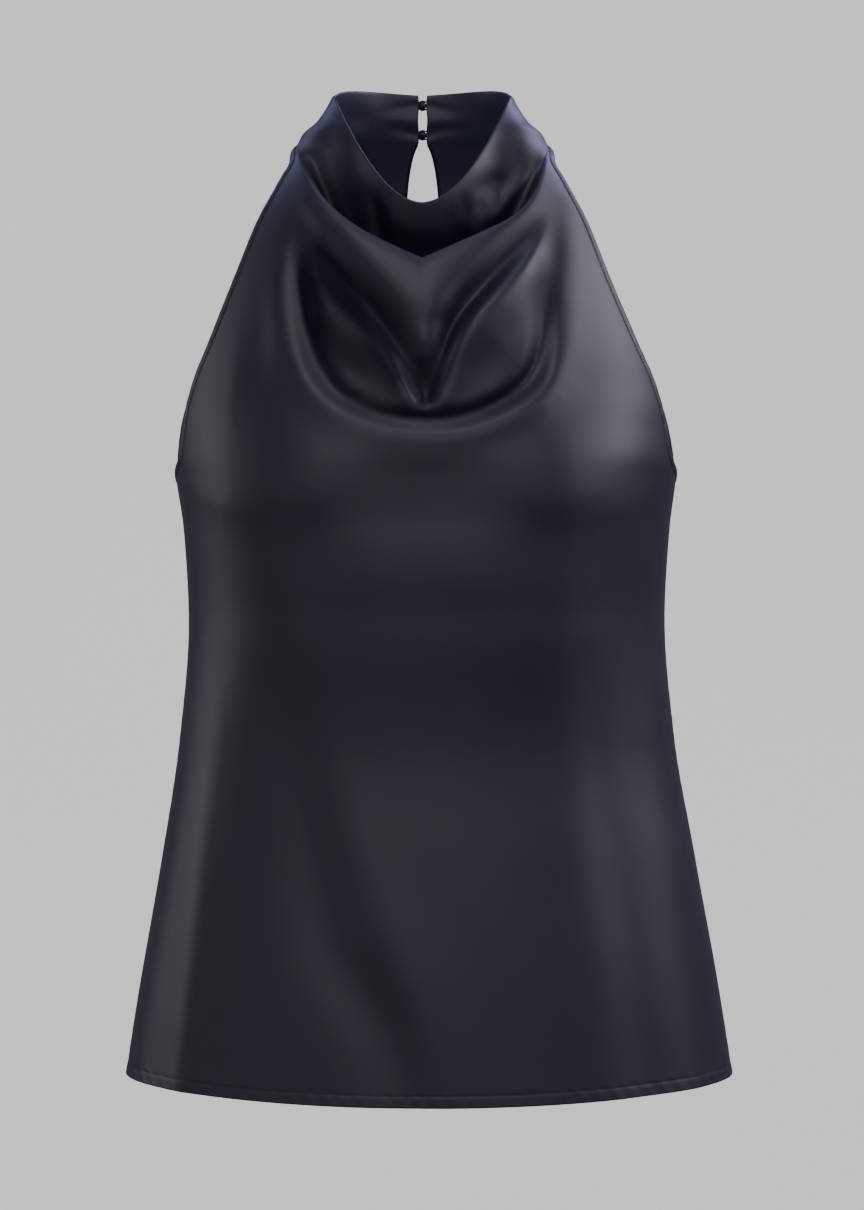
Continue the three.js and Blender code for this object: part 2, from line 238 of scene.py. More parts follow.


# ---- mesh tools

# Makes a finished object from points in millimetres, faces of three or four corners and a place on the cloth
# for each point. crease: how dark the painted shade is at each point, kept as the point value named crease,
# or none.
def makeMesh(name, points, faces, cloth, material, slot, crease=None):
    mesh = bpy.data.meshes.new(name)
    mesh.from_pydata((points * 0.001).tolist(), [], faces.tolist())
    uvLayer = mesh.uv_layers.new(name="cloth")
    loopPoints = np.empty(len(mesh.loops), dtype=np.int32)
    mesh.loops.foreach_get("vertex_index", loopPoints)
    uvLayer.data.foreach_set("uv", (cloth[loopPoints] * 0.001).ravel())
    mesh.polygons.foreach_set("use_smooth", np.ones(len(mesh.polygons), dtype=bool))
    # painted shade: each point's darkness, which the satin reads to mix in its dull dark cover
    creases = mesh.attributes.new("crease", "FLOAT", "POINT")
    creases.data.foreach_set("value", np.zeros(len(points)) if crease is None else crease)
    mesh.materials.append(material)
    piece = bpy.data.objects.new(name, mesh)
    bpy.context.scene.collection.objects.link(piece)
    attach(piece, "root")
    return piece


# The faces of a grid of points, row by row: each joins two neighbours with the two below them. Where a way
# is closed, its last points join its first.
def gridFaces(rows, columns, closedRows=False, closedColumns=False, flip=False):
    index = np.arange(rows * columns).reshape(rows, columns)
    if closedRows:
        index = np.vstack([index, index[:1]])
    if closedColumns:
        index = np.hstack([index, index[:, :1]])
    corners = [index[:-1, :-1], index[1:, :-1], index[1:, 1:], index[:-1, 1:]]
    if flip:
        corners.reverse()
    return np.stack([c.ravel() for c in corners], axis=1)


def unit(vectors):
    return vectors / np.maximum(np.linalg.norm(vectors, axis=-1, keepdims=True), 1e-9)


# Directions square to a grid of points: the cross product of its two slopes, turned towards outside.
def gridNormals(grid, outside):
    down, across = np.gradient(grid, axis=0), np.gradient(grid, axis=1)
    normal = unit(np.cross(across, down))
    return normal * np.sign(np.sum(normal * outside, axis=-1, keepdims=True) + 1e-12)


# Distances along each line of a grid, summed from its start.
def runs(grid, axis):
    steps = np.linalg.norm(np.diff(grid, axis=axis), axis=-1)
    first = np.zeros_like(np.take(steps, [0], axis=axis))
    return np.cumsum(np.concatenate([first, steps], axis=axis), axis=axis)


# Points read off a line at distances along it; at holds the distances of the line's own points.
def pointsAt(samples, at, points):
    return np.stack([np.interp(samples, at, column) for column in points.T], axis=1)


# Directions turned square to a line's own.
def squareTo(along, direction):
    return unit(direction - np.sum(direction * along, axis=1, keepdims=True) * along)


# An S-shaped step from 0 at low to 1 at high: 3 t squared less 2 t cubed.
def smoothstep(x, low, high):
    t = np.clip((x - low) / (high - low), 0, 1)
    return t * t * (3 - 2 * t)


# A monotone cubic through the points (xs, ys): its slope at each point is the harmonic mean of the slopes on
# both sides, or 0 at a turning point.
def smoothThrough(xs, ys):
    xs, ys = np.asarray(xs, float), np.asarray(ys, float)
    if xs[0] > xs[-1]:
        xs, ys = xs[::-1], ys[::-1]
    slopes = np.diff(ys) / np.diff(xs)
    product = slopes[:-1] * slopes[1:]
    total = slopes[:-1] + slopes[1:]
    inner = np.where(product > 0, 2 * product / np.where(total == 0, 1, total), 0)
    tangents = np.concatenate([slopes[:1], inner, slopes[-1:]])

    def read(x):
        x = np.clip(x, xs[0], xs[-1])
        i = np.clip(np.searchsorted(xs, x, side="right") - 1, 0, len(xs) - 2)
        span = xs[i + 1] - xs[i]
        t = (x - xs[i]) / span
        rise = ys[i] * (1 - t) ** 2 * (1 + 2 * t) + ys[i + 1] * t ** 2 * (3 - 2 * t)
        return rise + span * (tangents[i] * t * (1 - t) ** 2 - tangents[i + 1] * t ** 2 * (1 - t))

    return read


# A smooth line through points, sampled evenly by number: each coordinate is a monotone cubic over the
# distance along the points.
def smoothLine(points, count):
    points = np.asarray(points, float)
    at = runs(points, 0)
    samples = np.linspace(0, at[-1], count)
    return np.stack([smoothThrough(at, column)(samples) for column in points.T], axis=1)


# ---- the form that the top hangs on

# wall: the cloth's thickness. squareness: the power of the form's ovals. waves: the size of its slow waves.
top = {
    "wall": 0.5,
    "shoulderTip": 0,
    "underarm": -228,
    "hemSide": -627,
    "hemCentre": -637,
    "collarSeam": 10,
    "squareness": 2.3,
    "waves": 0.5,
}
# half: half the width. front, back: depths from the middle plane. side: where the widest point lies towards
# the back. lean: shift to the right. frontCut, backCut: half widths to which the panels reach.
form = {
    "z": [47, 36, 16, 8, 0, -12, -27, -55, -96, -136, -162, -187, -213, -228, -262, -321, -400, -480, -560,
          -640],
    "half": [57, 60, 72, 81, 85.5, 96, 108, 126, 145, 159, 165.5, 169, 170, 168.5, 164, 161, 167, 180,
             194.5, 207],
    "front": [38, 44, 57, 63, 69, 77, 85, 95, 106, 113, 116, 119, 121, 120, 115, 106, 107, 112, 117, 121],
    "back": [61, 62, 66, 69, 73, 79, 84, 91, 98, 101, 101, 100, 97, 95, 91, 87, 92, 100, 108, 114],
    "side": [0, 0, 0, 0, 0, 0, -1, -2, -4, -6, -7, -8, -8, -8, -8, -7, -6, -5, -4, -4],
    "lean": [0, 0, 0, 0, 0, 0, 0, 0, 0, 0.5, 1, 1.5, 2.3, 2.6, 3, 2.8, 3, 4, 4.5, 4.7],
    "frontCut": [57, 60, 72, 81, 85.5, 85.5, 92.5, 106.5, 122.5, 139, 150.5, 158, 162.5, 168.5, 164, 161,
                 167, 180, 195, 208],
    "backCut": [57, 60, 72, 81, 85.5, 85.5, 90.5, 101, 119, 141, 156, 164.5, 168, 168.5, 164, 161, 167, 180,
                195, 208],
}
shape = {name: smoothThrough(form["z"], column) for name, column in form.items() if name != "z"}


# How far a panel reaches at each height: its cut at the armhole, and the form's half width below it.
def reachOf(cut, z):
    return np.where(z <= top["underarm"], shape["half"](z), np.minimum(shape[cut](z), shape["half"](z)))


# How far round the oval lies at a share of its half width: 1 at the centre and 0 at the sides.
def roundness(share):
    power = top["squareness"]
    return (1 - np.clip(np.abs(share), 0, 1) ** power) ** (1 / power)


# Points of the form's front and back: an oval at each height, flatter than an ellipse. push: how far back.
def frontForm(x, z, push=0.0):
    side = shape["side"](z)
    y = side - (shape["front"](z) + side) * roundness(x / shape["half"](z)) + push
    return np.stack([x + shape["lean"](z), y, z], axis=-1)


def backForm(x, z):
    side = shape["side"](z)
    y = side + (shape["back"](z) - side) * roundness(x / shape["half"](z))
    return np.stack([x + shape["lean"](z), y, z], axis=-1)


# The form's outward direction: the slope of the oval's equation, by small steps.
def formNormal(points):
    def oval(x, y, z):
        side = shape["side"](z)
        across = y - side
        depth = np.where(across < 0, shape["front"](z) + side, shape["back"](z) - side)
        power = top["squareness"]
        return np.abs((x - shape["lean"](z)) / shape["half"](z)) ** power + np.abs(across / depth) ** power

    x, y, z = np.moveaxis(points, -1, 0)
    step = 0.5
    return unit(np.stack([
        oval(x + step, y, z) - oval(x - step, y, z),
        oval(x, y + step, z) - oval(x, y - step, z),
        oval(x, y, z + step) - oval(x, y, z - step),
    ], axis=-1))


# One fold of a table: a line in sideways distances and heights, the depths along it, and the widths above and
# below it, which are equal where only one is given. One number is a width that stays the same. Lines run from
# left to right, so above is towards the neck.
def fold(line, depths, above, below=None):
    below = above if below is None else below
    above, below = ([width] * 2 if isinstance(width, (int, float)) else width for width in (above, below))
    return {"line": line, "depths": depths, "above": above, "below": below}


# Sum of the folds at each point. Each is a bell across its line, its depth times e to the minus square of the
# distance over the width, with its own width on either side and a depth and widths that change along it.
# Positive sinks in. base is the unfolded surface.
def foldDepth(base, folds, surface):
    total = np.zeros(base.shape[:-1])
    for row in folds.values():
        line = smoothLine(row["line"], 44)
        path = surface(line[:, 0], line[:, 1])
        depth, above, below = (
            smoothThrough(np.linspace(0, 1, len(row[key])), row[key]) for key in ("depths", "above", "below"))
        reach = 3 * max(*row["above"], *row["below"])
        near = np.all((base > path.min(0) - reach) & (base < path.max(0) + reach), axis=-1)
        points = base[near]
        best = np.full(len(points), 1e9)
        side = np.zeros(len(points))
        run = np.zeros(len(points))
        for i in range(len(path) - 1):
            along = path[i + 1] - path[i]
            offset = points - path[i]
            share = np.clip(offset @ along / (along @ along), 0, 1)
            distance = np.linalg.norm(offset - share[:, None] * along, axis=1)
            closer = distance < best
            best = np.where(closer, distance, best)
            lift = (along[0] * offset[:, 2] - along[2] * offset[:, 0]) / np.linalg.norm(along)
            side = np.where(closer, lift / np.maximum(distance, 1e-6), side)
            run = np.where(closer, (i + share) / (len(path) - 1), run)
        width = below(run) + (above(run) - below(run)) * (0.5 + 0.5 * np.clip(side, -1, 1))
        total[near] += depth(run) * np.exp(-(best / width) ** 2)
    return total


# Slow waves that keep large smooth areas from looking machine made: a few sines of different directions.
def restless(points, size):
    x, y, z = np.moveaxis(points, -1, 0)
    return size * (
        0.5 * np.sin(x / 31 + z / 83 + 0.6) * np.sin(z / 57 - 1.1)
        + 0.3 * np.sin(x / 17 - z / 96 + y / 40 + 2.0)
        + 0.2 * np.sin(x / 12.5 + z / 41 + 4.1) * np.sin(y / 23 + z / 34)
    )


# ---- front panel, cut in one with the cowl neck

# Rows from the neckline to the hem. steps: grid cells to the next row. centre, edge: heights in the middle
# and at the side. straight: the share of the rise that is a straight slope. bowLeft, bowRight: powers of the
# rest. push, tuck: how far the middle moves back and down. neckFolds, bodyFolds: how much of each table is
# used.
frontRows = {
    "steps": [12, 10, 10, 8, 8, 12, 22, 20, 12, 10, 6, 5, 3, 10, 24, 26, 24, 0],
    "centre": [-46.5, -66, -77, -81, -84.7, -90, -118, -164, -200, -230, -248, -258, -263, -266, -330, -412,
               -500, -637],
    "edge": [34, 22, 9, -3, -10, -15, -27, -48, -84, -146, -192, -216, -226, -228, -311, -402, -490, -627],
    "straight": [0.05, 0.06, 0.12, 0.44, 0.52, 0.46, 0.16, 0.05, 0, 0, 0, 0, 0, 0, 0, 0, 0, 0],
    "bowLeft": [2, 2.5, 3.2, 3.6, 4, 4, 4, 4, 4, 3, 3, 3, 3, 3, 2.5, 2, 2, 2],
    "bowRight": [2, 3, 5, 6, 8, 8, 5, 4, 4, 3, 3, 3, 3, 3, 2.5, 2, 2, 2],
    "push": [12, 29, 46, 16, -2, -5, -6, -3, 0, 0, 0, 0, 0, 0, 0, 0, 0, 0],
    "tuck": [0, -9, -34, -17, 0, -2, 0, 0, 0, 0, 0, 0, 0, 0, 0, 0, 0, 0],
    "neckFolds": [0.35, 1, 0.8, 0.3, 0, 0, 0, 0, 0, 0, 0, 0, 0, 0, 0, 0, 0, 0],
    "bodyFolds": [0, 0, 0, 0, 0.1, 0.4, 1, 1, 1, 1, 1, 1, 1, 1, 1, 1, 1, 1],
}
neckFolds = {
    "left trough": fold([(-80, -5), (-72, -23), (-63, -38), (-59, -52)], [0, 5, 5, 3], 8, 6),
    "left band": fold([(-69, -14), (-60, -38), (-51, -58)], [0, -2.5, -2], 6, 5),
    "left crease": fold([(-36, -36), (-31, -50), (-29, -68)], [0, 3, 4], 6, 5),
    "right valley": fold([(56, -60), (65, -44), (74, -27), (82, -14)], [4, 6, 6, 2], 5, 8),
    "right ridge": fold([(48, -57), (54, -47), (63, -32), (79, -13)], [-3, -4, -4, -1.5], 5, 4),
    "right belly": fold([(37, -64), (43, -52), (51, -40)], [-3, -4, -1], 9, 7),
    "right crease": fold([(27, -38), (30, -50), (33, -68)], [0, 3, 4], 6, 5),
}
bodyFolds = {
    "valley left": fold([(-84, -46), (-77, -64), (-65, -81), (-52, -97), (-38, -113), (-25, -129),
        (-15, -144), (-8, -158), (-3, -170)],
        [0, 5, 9, 10.5, 11, 10, 7.5, 4, 0], [12, 14, 13, 9], [18, 18, 13, 6]),
    "valley right": fold([(5, -170), (11, -160), (15, -148), (20, -133), (29, -118), (39, -106), (50, -93),
        (61, -78), (70, -63), (78, -46)],
        [0, 3, 6.5, 9, 10, 10, 9.5, 8.5, 6, 0], [8, 11, 14, 15, 12], [5, 5, 6, 7, 7]),
    "v rim": fold([(-62, -91), (-50, -105), (-40, -118), (-32, -131), (-24, -145), (-18, -157), (-13, -169),
        (-8, -178), (-1, -182.5), (7, -179), (11, -171), (15, -161), (20, -146), (26, -133), (37, -119),
        (47, -109), (57, -98), (70, -85), (79, -72), (87, -56)],
        [0, -0.3, -0.8, -1.2, -1.6, -2, -2.6, -3, -3, -3, -4, -5.5, -7, -8, -8, -7.5, -7, -5.5, -3, 0],
        [6, 5, 3.5, 4, 6, 8, 9], [14, 14, 7, 12, 22, 20, 10]),
    "flap left hollow": fold([(-64, -120), (-56, -138), (-46, -156), (-38, -167)],
        [0, 4, 5, 3], 22, [17, 14]),
    "flap left ridge": fold([(-64, -160), (-51, -169), (-36, -174)], [0, -1.6, 0], 8, 5),
    "u valley": fold([(-84, -48), (-85, -75), (-83, -104), (-78, -134), (-72, -151), (-61, -166), (-53, -173),
        (-42, -180), (-28, -186), (-13, -189), (0, -190), (17, -189), (36, -184), (53, -177), (66, -168),
        (74, -157), (80, -140), (83, -121), (84, -102), (85, -85), (86, -60), (86, -45)],
        [0, 4, 8, 9, 8, 6, 4.4, 3.4, 2.8, 2.4, 2.4, 2.6, 3.2, 4.4, 5.8, 6.6, 6.4, 5.8, 4.8, 3.6, 2, 0],
        [9, 10, 10, 6, 5.2, 6.5, 13, 12], [8, 8, 8, 7.5, 7.5, 9, 13, 12]),
    "u ridge": fold([(-94, -48), (-92, -75), (-89, -100), (-84, -138), (-80, -157), (-69, -175), (-47, -191),
        (-14, -200), (18, -200), (41, -194), (58, -185), (73, -175), (83, -161), (88, -144), (91, -125),
        (93, -105), (94, -85), (96, -43)],
        [0, -1, -2, -3, -2.8, -2.2, -1.6, -1.4, -1.4, -1.8, -3, -4.6, -5.2, -5, -4.2, -3.2, -2, 0],
        [10, 8, 7, 6, 7, 7, 12], [12, 14, 11, 9, 14, 22, 14]),
    "left roll": fold([(-88, -20), (-80, -36), (-70, -52), (-60, -64)], [-1, -3.5, -3, 0], 6, 9),
    "tongue": fold([(4, -96), (6, -112), (6, -126)], [-1, -2, 0], 20),
    "tip hollow": fold([(1, -138), (1, -148), (1, -158), (1, -168), (1, -176)],
        [0, 1.5, 4.5, 6.5, 5], [16, 15, 13, 11, 8.5]),
    "chest left ridge": fold([(-101, -92), (-97, -130), (-93, -172)], [0, -1.6, 0], 7, 6),
    "chest left valley": fold([(-109, -100), (-109, -135), (-104, -180)], [0, 1.8, 0], 6, 8),
    "chest far ridge": fold([(-121, -115), (-126, -160), (-128, -205)], [0, -1.5, 0], 8),
    "chest right valley": fold([(106, -60), (112, -100), (112, -140)], [0, 1.2, 0], 9),
    "armhole dent right": fold([(146, -178), (151, -196), (153, -212)], [0, 2, 0], 8, 7),
    "bust left": fold([(-124, -234), (-96, -236)], [-8, -8], 56, 34),
    "bust right": fold([(96, -236), (118, -236)], [-8, -8], 56, 32),
    "under bust left": fold([(-150, -258), (-100, -264), (-40, -280)], [0, 1.5, 0], 24, 46),
    "under bust right": fold([(24, -290), (90, -268), (150, -256)], [0, 1.5, 0], 24, 46),
    "long trough": fold([(-104, -290), (-96, -344), (-80, -440), (-66, -524), (-30, -590), (-14, -640)],
        [0, 1.6, 2.4, 3, 2.8, 1.5], 20, 22),
    "long ridge": fold([(-86, -285), (-69, -412), (-44, -480), (-10, -560), (14, -640)],
        [0, -1.4, -2, -1.8, -0.8], 24, 20),
    "side fold left": fold([(-136, -350), (-150, -470), (-166, -640)], [0, -3.5, -4.5], 15, 13),
    "side fold right": fold([(148, -360), (158, -470), (178, -640)], [0, -3.5, -4.5], 13, 15),
    "right trough": fold([(104, -330), (124, -470), (146, -640)], [0, 2.5, 3], 18, 16),
    "side tuck left": fold([(-160, -250), (-158, -282), (-155, -315)], [0, 2.5, 0], 4, 5),
    "side tuck left ridge": fold([(-150, -248), (-152, -280), (-153, -318)], [0, -1.2, 0], 5, 4),
    "waist fill": fold([(-165, -300), (-80, -303), (0, -305), (80, -303), (165, -300)],
        [-3, -11, -10.5, -12, -3], 50, 75),
    "waist right": fold([(152, -262), (154, -300), (150, -345)], [0, 1.6, 0], 5, 6),
}
# Painted shade: where the cloth is darkened, in creases and on slopes that should look shaded, as for the
# folds, with how dark from 0 to 1 instead of how deep.
bodyShades = {
    "tongue left": fold([(-74, -66), (-61, -85), (-46, -101), (-31, -117), (-20, -132), (-11, -147),
        (-4, -160)],
        [0.2, 0.6, 0.75, 0.75, 0.75, 0.6, 0.4], [9, 12, 13, 9], [12, 14, 12, 8]),
    "left flap": fold([(-74, -104), (-63, -132), (-50, -150), (-36, -162), (-24, -170)],
        [0.5, 0.65, 0.6, 0.5, 0.2], [15, 17], 9),
    "left streak": fold([(-70, -78), (-56, -103), (-43, -125), (-29, -146), (-18, -163)],
        [0.45, 0.65, 0.6, 0.55, 0.5], [8, 7]),
    "u dark": fold([(-83, -72), (-80, -102), (-75, -130), (-66, -155), (-52, -172), (-34, -183), (-14, -187),
        (8, -188), (32, -184), (48, -176), (63, -163), (74, -143), (79, -118), (80, -98), (77, -78)],
        [0, 0.8, 0.75, 0.7, 0.7, 0.7, 0.75, 0.75, 0.75, 0.75, 0.65, 0.5, 0.5, 0.45, 0],
        [6, 8, 8, 4.5, 4.5, 6, 10, 8], [5, 4, 4, 4, 4, 5, 7, 6]),
    "right valley": fold([(4, -168), (8, -160), (12, -147), (17, -131), (24, -114), (33, -101), (46, -90),
        (59, -76), (67, -62), (74, -48)],
        [0.2, 0.35, 0.6, 0.7, 0.75, 0.8, 0.8, 0.8, 0.6, 0], [6, 8, 10, 10, 8], [3, 3.5, 5, 6, 6]),
    "tip": fold([(0, -146), (0, -160), (0, -175)], [0, 0.4, 0.55], [13, 10, 7]),
    "right chest": fold([(92, -46), (91, -78), (89, -112)], [0.4, 0.75, 0.3], 10, 11),
    "under ridge": fold([(-52, -214), (0, -219), (52, -214)], [0, 0.35, 0], 11, 14),
}
# painted shade on the cloth of the neck and in its pocket, the same way
neckShades = {
    "pocket": fold([(-34, -64), (0, -70), (36, -64)], [0.5, 0.9, 0.5], [14, 17, 14], 20),
    "left pocket": fold([(-84, -8), (-76, -20), (-66, -36), (-50, -60)],
        [0.6, 0.8, 0.7, 0.4], [5, 6], [6, 8]),
    "right neck": fold([(18, -50), (32, -33), (45, -27), (54, -26), (66, -12)],
        [0.4, 0.75, 0.85, 0.65, 0.2], 10, [8, 5]),
    "left neck": fold([(-58, -14), (-46, -32), (-34, -52)], [0.2, 0.35, 0.3], 9),
    "right pocket": fold([(20, -38), (22, -50), (28, -64)], [0.1, 0.4, 0.4], 7),
}
# facing: the rows turned in at the neck. hemCell: the length of the last even cells above the hem.
clothGrid = {
    "columns": 204,
    "facing": 14,
    "turnRadius": 0.55,
    "hemRadius": 0.45,
    "hemDepth": 7,
    "hemCell": 5.7,
}
# Widths of the strips inside the seams: where an edge is turned under, at the neck, elsewhere, and under a
# binding. from, to: the distances down a side between which the neck's width grows to the rest.
seamStrip = {"turned": 0.5, "neck": 1.6, "seam": 5, "underBinding": 1.2, "from": 3, "to": 14}


# Points of the front panel: place runs down its rows, and across from -1 at the left edge to 1 at the right.
# Each row is a smile: its height is the middle's plus the rise to the edge, part straight and part a power.
def frontSurface(place, across):
    row = {name: read(place) for name, read in frontReaders.items()}
    reach = reachOf("frontCut", row["edge"])
    turn = np.arcsin(np.clip(reach / shape["half"](row["edge"]), 0, 1))
    share = np.sin(across * turn) / np.sin(turn)
    far = np.abs(share)
    bow = np.where(share < 0, row["bowLeft"], row["bowRight"])
    rise = row["straight"] * far + (1 - row["straight"]) * far ** bow
    z = row["centre"] + (row["edge"] - row["centre"]) * rise + row["tuck"] * (1 - far ** 2) ** 2
    x = share * reach
    fade = (1 - far ** 6) ** 2
    plain = frontForm(x, z)
    pushed = frontForm(x, z, row["push"] * fade)
    return pushed, plain, fade, row


frontPlaces = np.concatenate([[0], np.cumsum(frontRows["steps"][:-1])])
frontReaders = {name: smoothThrough(frontPlaces, frontRows[name]) for name in frontRows if name != "steps"}


# Distances from the hem of the rows near it, which lie close together so that its stitched edge has a shape.
hemCells = [10.2, 9, 8, 7.5, 7, 6.5, 6, 5, 3.5, 2, 1, 0.4, 0]
hemStitchRow = hemCells.index(clothGrid["hemDepth"]) - len(hemCells)
hemInner = slice(-2, hemStitchRow - 2, -1)


# Places of a panel's rows: whole numbers down to the hem's rows, and then by their distances from the hem.
# last is the hem's place, and cell the size of one whole step.
def rowPlaces(last, cell):
    return np.concatenate([np.arange(last - 1), last - np.array(hemCells) / cell])


seamShape = {"groove": 0.55, "grooveWidth": 1.3, "pucker": 0.22, "puckerReach": 7, "puckerWave": 2.1}
hemShape = {"step": 0.14, "dip": 0.16, "dipWidth": 0.9, "roping": 0.12, "ropingWave": 1.9, "ropingReach": 4}


# Seams: a panel's edge sinks in a bell, with small puckers that die away from the stitching and come and go
# along it. distance is measured from the seam, and run along it.
def seamSink(distance, run, strength):
    groove = seamShape["groove"] * np.exp(-(distance / seamShape["grooveWidth"]) ** 2)
    pucker = np.sin(run / seamShape["puckerWave"] + 1.3 * np.sin(run / 13)) * (0.6 + 0.4 * np.sin(run / 37))
    return strength * (groove + seamShape["pucker"] * pucker * np.exp(-distance / seamShape["puckerReach"]))


# The turned hem: its upper edge shows as a small step, held by a line of stitches that dips in a bell, and
# slanting sine waves rope its turning.
def hemRelief(distance, run):
    depth = clothGrid["hemDepth"]
    step = -hemShape["step"] * (1 - smoothstep(distance, depth - 0.6, depth + 0.8))
    dip = hemShape["dip"] * np.exp(-((distance - depth) / hemShape["dipWidth"]) ** 2)
    waves = np.sin(run / hemShape["ropingWave"] + distance * 0.5)
    roping = hemShape["roping"] * waves * (1 - smoothstep(distance, depth, depth + hemShape["ropingReach"]))
    return step + dip + roping


# Rows that turn an edge under: down the inside, then round a half circle up to the edge itself. edge is the
# row at the edge, inner the rows next to it, from the edge inwards.
def turnedEdge(edge, inner, edgeNormal, innerNormal, radius):
    upward = unit(edge - inner[0])
    middle = edge - radius * edgeNormal
    angles = np.radians([18, 54, 90, 126, 162])[:, None, None]
    arc = middle - radius * (np.cos(angles) * edgeNormal - np.sin(angles) * upward)
    inside = (inner - 2 * radius * innerNormal)[::-1]
    return np.concatenate([inside, (edge - 2 * radius * edgeNormal)[None], arc])


# The share of a panel's edge that is sewn to another panel: all but the armhole, from which it fades in.
def sewnShare(z, fade):
    return 1 - smoothstep(z, top["underarm"] - fade, top["underarm"]) * (1 - smoothstep(z, -1, 2))


# Directions square to a grid by its run alone, because the neck's cloth faces back over the pocket: they are
# turned as a whole, so that the last row faces outside.
def runNormals(grid, outside):
    normals = unit(np.cross(np.gradient(grid, axis=1), np.gradient(grid, axis=0)))
    return normals if np.sum(normals[-1] * outside[-1]) >= 0 else -normals


frontPlace = rowPlaces(frontPlaces[-1], clothGrid["hemCell"])[:, None]
frontAcross = np.linspace(-1, 1, clothGrid["columns"] + 1)[None, :]
frontPoints, frontPlain, frontFade, frontRow = frontSurface(frontPlace, frontAcross)
outside = formNormal(frontPlain)
frontNormals = runNormals(frontPoints, outside)
frontSink = (
    frontRow["bodyFolds"] * foldDepth(frontPlain, bodyFolds, frontForm)
    + frontRow["neckFolds"] * foldDepth(frontPlain, neckFolds, frontForm)
) * frontFade
frontRun = runs(frontPoints, 1)
fromSide = np.minimum(frontRun, frontRun[:, -1:] - frontRun)
sewn = sewnShare(frontPoints[..., 2], 6)
frontDown = runs(frontPoints, 0)
fromHem = frontDown[-1:] - frontDown
# painted shade: how dark each point is painted, from the shade tables, full from 10 mm inside the side edges
frontPaintedShade = np.clip(smoothstep(fromSide, 0, 10) * (
    np.minimum(frontRow["bodyFolds"], 1) * foldDepth(frontPlain, bodyShades, frontForm)
    + np.minimum(frontRow["neckFolds"], 1) * foldDepth(frontPlain, neckShades, frontForm)), 0, 0.9)
frontSink = frontSink + sewn * seamSink(fromSide, frontPoints[..., 2], 1.0)
frontSink = frontSink + hemRelief(fromHem, frontRun)
frontSink = frontSink + restless(frontPoints, top["waves"]) * np.minimum(frontRow["bodyFolds"], 1)
frontPoints = frontPoints - frontSink[..., None] * frontNormals
frontNormals = runNormals(frontPoints, outside)


# The strips of cloth inside the seams: one more column past each edge, turned in where the edge is sewn to
# another panel and pointing on under the binding at an armhole.
def withAllowances(grid, normals, width, sides):
    width = np.broadcast_to(width, len(grid))[:, None]
    sewn = sewnShare(grid[:, 0, 2], 4)[:, None]

    def strip(edge, inner):
        beyond = unit(grid[:, edge] - grid[:, inner])
        turned = grid[:, edge] - sewn * normals[:, edge] * width
        return (turned + (1 - sewn) * beyond * seamStrip["underBinding"])[:, None]

    strips = {"start": (0, 1), "end": (-1, -2)}
    start, end = ([strip(*strips[side])] if side in sides else [] for side in ("start", "end"))
    return np.concatenate([*start, grid, *end], axis=1)


facing = clothGrid["facing"]
frontEdges = {"left": frontPoints[:, 0].copy(), "right": frontPoints[:, -1].copy()}
neckRows = turnedEdge(frontPoints[0], frontPoints[1:facing], frontNormals[0], frontNormals[1:facing],
                      clothGrid["turnRadius"])
hemRows = turnedEdge(frontPoints[-1], frontPoints[hemInner], frontNormals[-1], frontNormals[hemInner],
                     clothGrid["hemRadius"])[::-1]
frontGrid = np.concatenate([neckRows, frontPoints, hemRows])
frontOut = np.concatenate([np.repeat(frontNormals[:1], len(neckRows), 0), frontNormals,
                           np.repeat(frontNormals[-1:], len(hemRows), 0)])
frontPaintedShade = np.pad(frontPaintedShade, ((len(neckRows), len(hemRows)), (1, 1)))
# the strips are narrow at the neck, where wider ones would stand out into the opening
frontWidths = seamStrip["neck"] + (seamStrip["seam"] - seamStrip["neck"]) * smoothstep(
    frontDown[:, 0], seamStrip["from"], seamStrip["to"])
frontWidths = np.concatenate([np.full(len(neckRows), seamStrip["turned"]), frontWidths,
                              np.full(len(hemRows), seamStrip["seam"])])
frontGrid = withAllowances(frontGrid, frontOut, frontWidths, ("start", "end"))


# Gives a shell its thickness, with the dull reverse of the satin on its inside, which has a faint painted
# glow.
def thicken(piece, thickness):
    wall = piece.modifiers.new("wall", "SOLIDIFY")
    wall.thickness = thickness * 0.001
    wall.offset = 0
    wall.use_even_offset = False
    piece.data.materials.append(satinReverse)
    wall.material_offset = 1


# A point's place on the cloth: how far across and down it lies, measured along the grid's lines.
def clothPlaces(grid, middle=None):
    acrossRun = runs(grid, 1)
    centre = acrossRun[:, middle] if middle is not None else 0 * acrossRun[:, 0]
    downRun = runs(grid, 0)
    return np.stack([(acrossRun - centre[:, None]).ravel(), -downRun.ravel()], axis=1)


# One layer's area in square metres: half of each face's crossed diagonals.
def gridArea(grid):
    one = grid[1:, 1:] - grid[:-1, :-1]
    two = grid[1:, :-1] - grid[:-1, 1:]
    return float(np.linalg.norm(np.cross(one, two), axis=-1).sum()) / 2e6


# The flat width and length in metres of cloth whose grids lie side by side: their longest rows together, and
# the longest column of all, measured along the cloth.
def flatSize(*grids):
    width = sum(runs(grid, 1)[:, -1].max() for grid in grids)
    length = max(runs(grid, 0)[-1].max() for grid in grids)
    return round(float(width) / 1000, 3), round(float(length) / 1000, 3)


frontPanel = makeMesh("front_panel_cloth", frontGrid.reshape(-1, 3),
                      gridFaces(*frontGrid.shape[:2]), clothPlaces(frontGrid, frontGrid.shape[1] // 2),
                      satinCloth, "satin", frontPaintedShade.ravel())
thicken(frontPanel, top["wall"])
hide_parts("front_panel")
print("front panel made", gridArea(frontGrid))

# ---- back panel, in two halves that are one piece of cloth below the keyhole

# footFrom, footTo: how far down the rows start and stop closing up towards the rounded foot. calmFrom,
# calmTo: the heights between which creases and waves next to the slit die away.
keyhole = {
    "length": 100,
    "topHalf": 4,
    "fullness": 560,
    "footFrom": 60,
    "footTo": 90,
    "calmFrom": -114,
    "calmTo": -90,
}
# how far the back goes on above its seam to the neck band
backLap = 3.0
